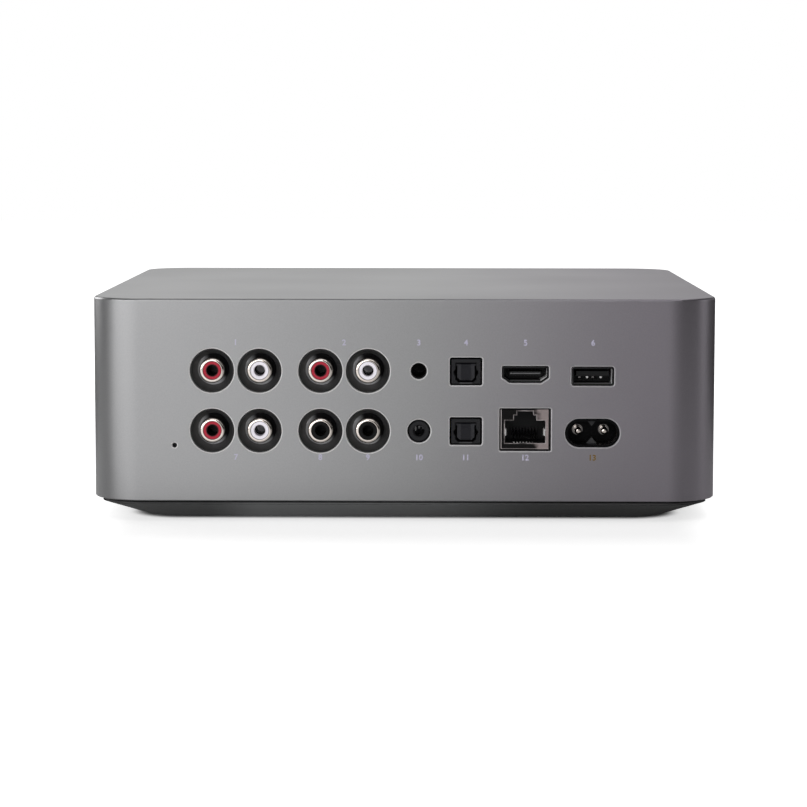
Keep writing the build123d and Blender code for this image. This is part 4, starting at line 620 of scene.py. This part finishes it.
# Numbers beside the sockets: screen printed in a lilac-grey ink barely lighter than the metal, and the mains
# inlet's in a dull gold. They are plain running numbers, one for each group of sockets.
PRINT_HEIGHT, PRINT_THICKNESS = 1.8, 0.002
CAPITAL_SHARE, STROKE_SPREAD = 0.69, 0.07  # a digit's height by the font's size, and how much bolder it is
UPPER_LINE, LOWER_LINE = 59.1, 21.6
ink, gold_ink = (
    grained(name, 0.3, 2.0, dark, light, Roughness=roughness, IOR=1.5, Specular_IOR_Level=0.2)[0]
    for name, dark, light, roughness in (("screen_ink_lilac", "#A29EB2", "#B0ACBF", 0.6),
                                         ("screen_ink_gold", "#644B08", "#735A16", 0.5)))
for number, across_mm, up_mm in (
    (1, -54.72, UPPER_LINE), (2, -19.43, UPPER_LINE), (3, 4.85, UPPER_LINE), (4, 20.2, UPPER_LINE),
    (5, 39.5, UPPER_LINE), (6, 61.4, UPPER_LINE), (7, -54.72, LOWER_LINE), (8, -27.2, LOWER_LINE),
    (9, -11.7, LOWER_LINE), (10, 4.93, LOWER_LINE), (11, 20.2, LOWER_LINE), (12, 39.5, LOWER_LINE),
    (13, 61.4, LOWER_LINE),
):
    curve = bpy.data.curves.new(f"print_{number}", "FONT")
    curve.body = str(number)
    curve.align_x = "CENTER"
    curve.align_y = "CENTER"
    curve.size = PRINT_HEIGHT / CAPITAL_SHARE
    curve.resolution_u = 3
    curve.offset = STROKE_SPREAD
    letter = bpy.data.objects.new(f"print_{number}", curve)
    flat = bpy.data.meshes.new_from_object(letter)
    bpy.data.objects.remove(letter)
    flat_points = np.empty(len(flat.vertices) * 3)
    flat.vertices.foreach_get("co", flat_points)
    flat_points = flat_points.reshape(-1, 3)
    placed = np.stack([-across_mm - flat_points[:, 0], np.full(len(flat_points), REAR + PRINT_THICKNESS),
                       up_mm + flat_points[:, 1]], axis=1)
    corners = [list(polygon.vertices) for polygon in flat.polygons]
    make_piece(f"print_{number}", placed, corners, gold_ink if number == 13 else ink, "chassis",
               "anodised_casing")

# Display: a black-backed cover glass bonded into the front wall, over a plain panel. The glass has a faint
# smear of handling, and the panel's rows of cells show only when the glass is off.
glass = grained("cover_glass_black_backed", 18.0, 4.0, "#08080A", "#0F0F12", (0.05, 0.14),
                IOR=1.52, Coat_Weight=1.0, Coat_Roughness=0.03, Coat_IOR=1.52)[0]
dress(glass, "display_glass")

panel, tree, shader, place = new_material("display_panel_back_sheet", Roughness=0.5)
cells = add(tree, "TexBrick", {
    "Vector": place, "Scale": 1.0, "Color1": linear("#2A2B30"), "Color2": linear("#2E2F34"),
    "Mortar": linear("#1C1D20"), "Mortar Size": 0.08, "Brick Width": 3.0, "Row Height": 1.0})
feed(shader, {"Base Color": cells})
dress(panel, "display_panel")

# Volume knob: turned from aluminium bar, anodised with the casing and pushed on the encoder's shaft. The
# lathe leaves fine rings on its face.
KNOB_X, KNOB_UP = 70.0, 40.3
TURNING_PITCH = 0.5  # real rings are about 0.1 mm apart
turned, tree, shader, place = new_material("anodised_aluminium_turned", Metallic=1.0)
centred = add(tree, "Mapping", {"Vector": place, "Location": (-KNOB_X, 0.0, -KNOB_UP),
                                "Scale": (1.0, 0.0, 1.0)})
rings = add(tree, "TexWave", {"Vector": centred, "Scale": 1 / TURNING_PITCH / 3.14, "Distortion": 0.0},
            wave_type="RINGS", rings_direction="SPHERICAL").outputs["Fac"]
overlay(shader, linear("#8C8C8F"), (rings, "#9A9A9D"))
feed(shader, {
    "Roughness": add(tree, "MapRange", {"Value": rings, "To Min": 0.28, "To Max": 0.36}),
    "Normal": add(tree, "Bump", {"Height": rings, "Strength": 0.08, "Distance": 0.00004})})
dress(turned, "volume_knob")

# Ribbon cable: flat copper conductors laminated between white films, plugged into both boards. The
# conductors show through as grey stripes 2 mm apart.
film, tree, shader, place = new_material("ribbon_film_with_conductors", Roughness=0.45, IOR=1.5)
spot = add(tree, "SeparateXYZ", {"Vector": place})
stripe = add(tree, "Math", {0: spot.outputs["X"], 1: 1.0}, operation="PINGPONG")
conductor = add(tree, "MapRange", {"Value": stripe, "From Min": 0.35, "From Max": 0.5})
overlay(shader, linear("#C9CBD0"), (conductor, "#8E9096"))
dress(film, "ribbon_cable")

# Heat sink: extruded aluminium, left bare and clipped on the processor. The die leaves faint lines along the
# fins.
extruded, tree, shader, place = new_material("aluminium_extruded", Metallic=1.0, Roughness=0.35)
drawn = add(tree, "Mapping", {"Vector": place, "Scale": (4.0, 0.08, 4.0)})
lines = add(tree, "TexNoise", {"Vector": drawn, "Scale": 1.0, "Detail": 3.0})
overlay(shader, linear("#C2C3C5"), (lines, "#DADBDD"))
dress(extruded, "heat_sink")

# Aerial of the radio module: copper loops printed on a thin black laminate and held by adhesive. The copper
# shows as broad dull red bands.
aerial, tree, shader, place = new_material("aerial_laminate_with_copper", Roughness=0.35, IOR=1.5)
loops = add(tree, "TexWave", {"Vector": place, "Scale": 0.12, "Distortion": 0.0}, bands_direction="X")
copper = add(tree, "MapRange", {"Value": loops.outputs["Fac"], "From Min": 0.55, "From Max": 0.6})
overlay(shader, linear("#141516"), (copper, "#8A5A36"))
dress(aerial, "antenna")

# Mains transformer: stacked steel laminations dipped in dark varnish, soldered to the power board. The stack
# shows as fine lines.
varnished, tree, shader, place = new_material("transformer_steel_varnished", Roughness=0.4, Metallic=0.4)
stack = add(tree, "TexWave", {"Vector": place, "Scale": 0.32, "Distortion": 0.3}, bands_direction="Z")
overlay(shader, linear("#3B3A3C"), (stack.outputs["Fac"], "#57555A"))
dress(varnished, "transformer")

# Supply capacitors: aluminium cans in shrunk dark blue sleeves, soldered beside the transformer. Their tops
# are bare metal.
sleeve, tree, shader, place = new_material("capacitor_sleeve_and_can", IOR=1.54)
facing = add(tree, "SeparateXYZ", {"Vector": add(tree, "NewGeometry").outputs["True Normal"]})
top = add(tree, "Math", {0: facing.outputs["Z"], 1: 0.8}, operation="GREATER_THAN")
shrink = add(tree, "TexNoise", {"Vector": place, "Scale": 1 / 2.0, "Detail": 2.0})
overlay(shader, linear("#1A2336"), (shrink, "#222D44"), (top, "#C4C6CA"))
feed(shader, {"Metallic": top,
              "Roughness": add(tree, "MapRange", {"Value": shrink, "To Min": 0.25, "To Max": 0.38})})
dress(sleeve, "supply_capacitors")

# Studio floor, sizes in metres: pale paper that keeps the shadow. It is lit from within for the camera, less
# so round the base, so that the shadow there stays, and not at all along the foot, which paints a narrow
# contact shadow there. On the key's side it also glows faintly onto the object. For reflections it is pale
# behind the sockets on the key's side, dark further out, and dark beside the front, which keeps the casing's
# corners dark.
FLOOR_RADIUS = 3.0
FOOT_HALF, FOOT_CORNER, CONTACT_WIDTH = 0.087, 0.013, 0.006
turns = np.linspace(0.0, 2 * math.pi, 65)[:-1]
floor_mesh = bpy.data.meshes.new("studio_floor")
floor_mesh.from_pydata(
    np.stack([FLOOR_RADIUS * np.cos(turns), FLOOR_RADIUS * np.sin(turns), np.zeros(64)], axis=1).tolist(),
    [], [list(range(64))])
floor = bpy.data.objects.new("studio_floor", floor_mesh)
bpy.context.scene.collection.objects.link(floor)
paper = bpy.data.materials.new("studio_paper")
paper.use_nodes = True
tree = paper.node_tree
tree.nodes.clear()
rays = add(tree, "LightPath")
mirrored, scattered = rays.outputs["Is Glossy Ray"], rays.outputs["Is Diffuse Ray"]
seen = add(tree, "Math", {0: rays.outputs["Is Camera Ray"], 1: rays.outputs["Is Transmission Ray"]},
           operation="MAXIMUM")
here = add(tree, "TexCoord").outputs["Object"]
both_ways = add(tree, "VectorMath", {0: here}, operation="ABSOLUTE")
signed = add(tree, "SeparateXYZ", {"Vector": here})
unsigned = add(tree, "SeparateXYZ", {"Vector": both_ways})
ramps = {}
for name, value, start, end, low, high in (
    ("beside", unsigned.outputs["X"], 0.085, 0.115, 0.6, 1.0),
    ("ahead", unsigned.outputs["Y"], 0.12, 0.26, 0.6, 1.0),
    ("left", signed.outputs["X"], -0.07, 0.07, 0.0, 1.0),
    ("clear_of_foot", signed.outputs["Y"], 0.11, 0.17, 0.0, 1.0),
    ("near", signed.outputs["Y"], 0.4, 0.9, 0.62, 0.3),
    ("at_front", signed.outputs["Y"], 0.0, -0.2, 0.0, 0.9),
    ("aside", unsigned.outputs["X"], 0.12, 0.2, 0.0, 1.0),
    ("far_out", signed.outputs["Y"], 0.3, 1.0, 0.0, 0.6),
):
    ramps[name] = add(tree, "MapRange", {"Value": value, "From Min": start, "From Max": end, "To Min": low,
                                         "To Max": high}, interpolation_type="SMOOTHSTEP")
straight = (FOOT_HALF - FOOT_CORNER, FOOT_HALF - FOOT_CORNER, 1.0)
beyond = add(tree, "VectorMath", {0: both_ways, 1: straight}, operation="SUBTRACT")
beyond = add(tree, "VectorMath", {0: beyond, 1: (0.0, 0.0, 0.0)}, operation="MAXIMUM")
from_foot = add(tree, "VectorMath", {0: beyond}, operation="LENGTH")
# Painted contact shadow: the glow fades out along the foot.
clear_of_painted_contact_shadow = add(tree, "MapRange", {"Value": from_foot, "From Min": FOOT_CORNER,
                                 "From Max": FOOT_CORNER + CONTACT_WIDTH}, interpolation_type="SMOOTHSTEP")
open_floor = add(tree, "Math", {0: ramps["beside"], 1: ramps["ahead"]}, operation="MAXIMUM")
open_floor = add(tree, "Math", {0: open_floor, 1: clear_of_painted_contact_shadow}, operation="MULTIPLY")
shown_glow = add(tree, "Math", {0: seen, 1: open_floor}, operation="MULTIPLY")
scattered_glow = add(tree, "Math", {0: scattered, 1: 0.3}, operation="MULTIPLY")
mirrored_glow = add(tree, "Math", {0: mirrored, 1: ramps["near"]}, operation="MULTIPLY")
mirrored_glow = add(tree, "Math", {0: mirrored_glow, 1: ramps["clear_of_foot"]}, operation="MULTIPLY")
key_glow = add(tree, "Math", {0: scattered_glow, 1: mirrored_glow}, operation="ADD")
key_glow = add(tree, "Math", {0: key_glow, 1: ramps["left"]}, operation="MULTIPLY")
glow_level = add(tree, "Math", {0: shown_glow, 1: key_glow}, operation="ADD")
glow = add(tree, "Emission", {"Color": (1.0, 1.0, 1.0, 1.0), "Strength": glow_level})
dark_front = add(tree, "Math", {0: ramps["at_front"], 1: mirrored}, operation="MULTIPLY")
dark_front = add(tree, "Math", {0: dark_front, 1: ramps["aside"]}, operation="MULTIPLY")
dark_far = add(tree, "Math", {0: ramps["far_out"], 1: mirrored}, operation="MULTIPLY")
dark_share = add(tree, "Math", {0: dark_front, 1: dark_far}, operation="ADD")
paper_tone = add(tree, "Mix", {"Factor": dark_share, "A": (0.7, 0.7, 0.7, 1.0),
                               "B": (0.02, 0.02, 0.02, 1.0)}, data_type="RGBA")
matt = add(tree, "BsdfDiffuse", {"Color": paper_tone})
add(tree, "OutputMaterial", {"Surface": add(tree, "AddShader", {0: matt, 1: glow})})
floor_mesh.materials.append(paper)

# Surround: white for the camera. For reflections it is pale beyond the front of the object and on the key's
# side, dark behind the sockets, and a little lighter high up there, which lights the top for views from the
# front.
world = bpy.data.worlds.new("studio_surround")
world.use_nodes = True
bpy.context.scene.world = world
tree = world.node_tree
tree.nodes.clear()
rays = add(tree, "LightPath")
direction = add(tree, "SeparateXYZ", {"Vector": add(tree, "TexCoord").outputs["Generated"]})
frontwards, lowered, keywards, raised, rearwards = (
    add(tree, "MapRange", {"Value": direction.outputs[axis], "From Min": start, "From Max": end,
                           "To Min": low, "To Max": high}, interpolation_type="SMOOTHSTEP")
    for axis, start, end, low, high in (
        ("Y", 0.1, -0.6, 0.03, 0.9), ("Z", 0.15, 0.6, 1.0, 0.25), ("X", -0.23, 0.03, 0.3, 1.0),
        ("Z", 0.2, 0.32, 0.0, 0.24), ("Y", 0.0, 0.4, 0.0, 1.0)))
surround = add(tree, "Math", {0: frontwards, 1: lowered}, operation="MULTIPLY")
surround = add(tree, "Math", {0: surround, 1: keywards}, operation="MULTIPLY")
rear_sky = add(tree, "Math", {0: raised, 1: rearwards}, operation="MULTIPLY")
surround = add(tree, "Math", {0: surround, 1: rear_sky}, operation="ADD")
clear = add(tree, "Math", {0: rays.outputs["Is Camera Ray"], 1: rays.outputs["Is Transmission Ray"]},
            operation="MAXIMUM")
level = add(tree, "Mix", {"Factor": clear, "A": surround, "B": 1.0}, data_type="FLOAT")
background = add(tree, "Background", {"Color": (1.0, 1.0, 1.0, 1.0), "Strength": level})
add(tree, "OutputWorld", {"Surface": background})

# Soft boxes, given by azimuth from the rear wall's normal, elevation, distance, width, height, radiance and
# whether reflections show them. The key stands on the left of the photo, and the small last one, which
# reflections don't show, stands low to light the sockets' insides.
AIM_HEIGHT = 0.04
for name, azimuth, elevation, distance, wide, tall, radiance, shows in (
    ("key", 35.5, 13.0, 1.4, 1.94, 0.65, 2.75, True),
    ("fill", -10.0, 50.0, 1.6, 1.2, 0.7, 1.1, True),
    ("left_back", 128.0, 15.0, 1.5, 0.9, 0.8, 2.3, True),
    ("right_side", -95.0, 12.0, 1.5, 0.6, 0.8, 0.8, True),
    ("overhead_back", 180.0, 60.0, 1.5, 1.4, 0.8, 1.6, True),
    ("socket_light", -12.0, 7.0, 1.4, 0.4, 0.4, 9.0, False),
):
    turn, rise = math.radians(azimuth), math.radians(elevation)
    outward = Vector((math.sin(turn) * math.cos(rise), math.cos(turn) * math.cos(rise), math.sin(rise)))
    light = bpy.data.lights.new(f"softbox_{name}", "AREA")
    light.shape = "RECTANGLE"
    light.size = wide
    light.size_y = tall
    light.energy = radiance * math.pi * wide * tall
    box = bpy.data.objects.new(f"softbox_{name}", light)
    box.location = Vector((0.0, 0.0, AIM_HEIGHT)) + outward * distance
    box.rotation_mode = "QUATERNION"
    box.rotation_quaternion = (-outward).to_track_quat("-Z", "Y")
    box.visible_glossy = shows
    bpy.context.scene.collection.objects.link(box)

# Camera: place, direction and lens are fitted to the photo's outline, from about 0.9 m behind the rear wall
# and a little above it.
SENSOR_WIDTH, FOCAL_PIXELS, PHOTO_PIXELS = 36.0, 2750.2, 807
lens = bpy.data.cameras.new("photo_camera")
lens.sensor_width = SENSOR_WIDTH
lens.sensor_fit = "HORIZONTAL"
lens.lens = SENSOR_WIDTH * FOCAL_PIXELS / PHOTO_PIXELS
camera = bpy.data.objects.new("photo_camera", lens)
forward = Vector((0.00935, -0.99514, -0.09804)).normalized()
upward = Vector((0.00222, -0.09803, 0.99518)).normalized()
rightward = forward.cross(upward).normalized()
upward = rightward.cross(forward)
axes = Matrix((rightward, upward, -forward)).transposed()
camera.matrix_world = Matrix.Translation((-0.008264, 0.992805, 0.127034)) @ axes.to_4x4()
bpy.context.scene.collection.objects.link(camera)
bpy.context.scene.camera = camera
bpy.context.scene.view_settings.view_transform = "Standard"
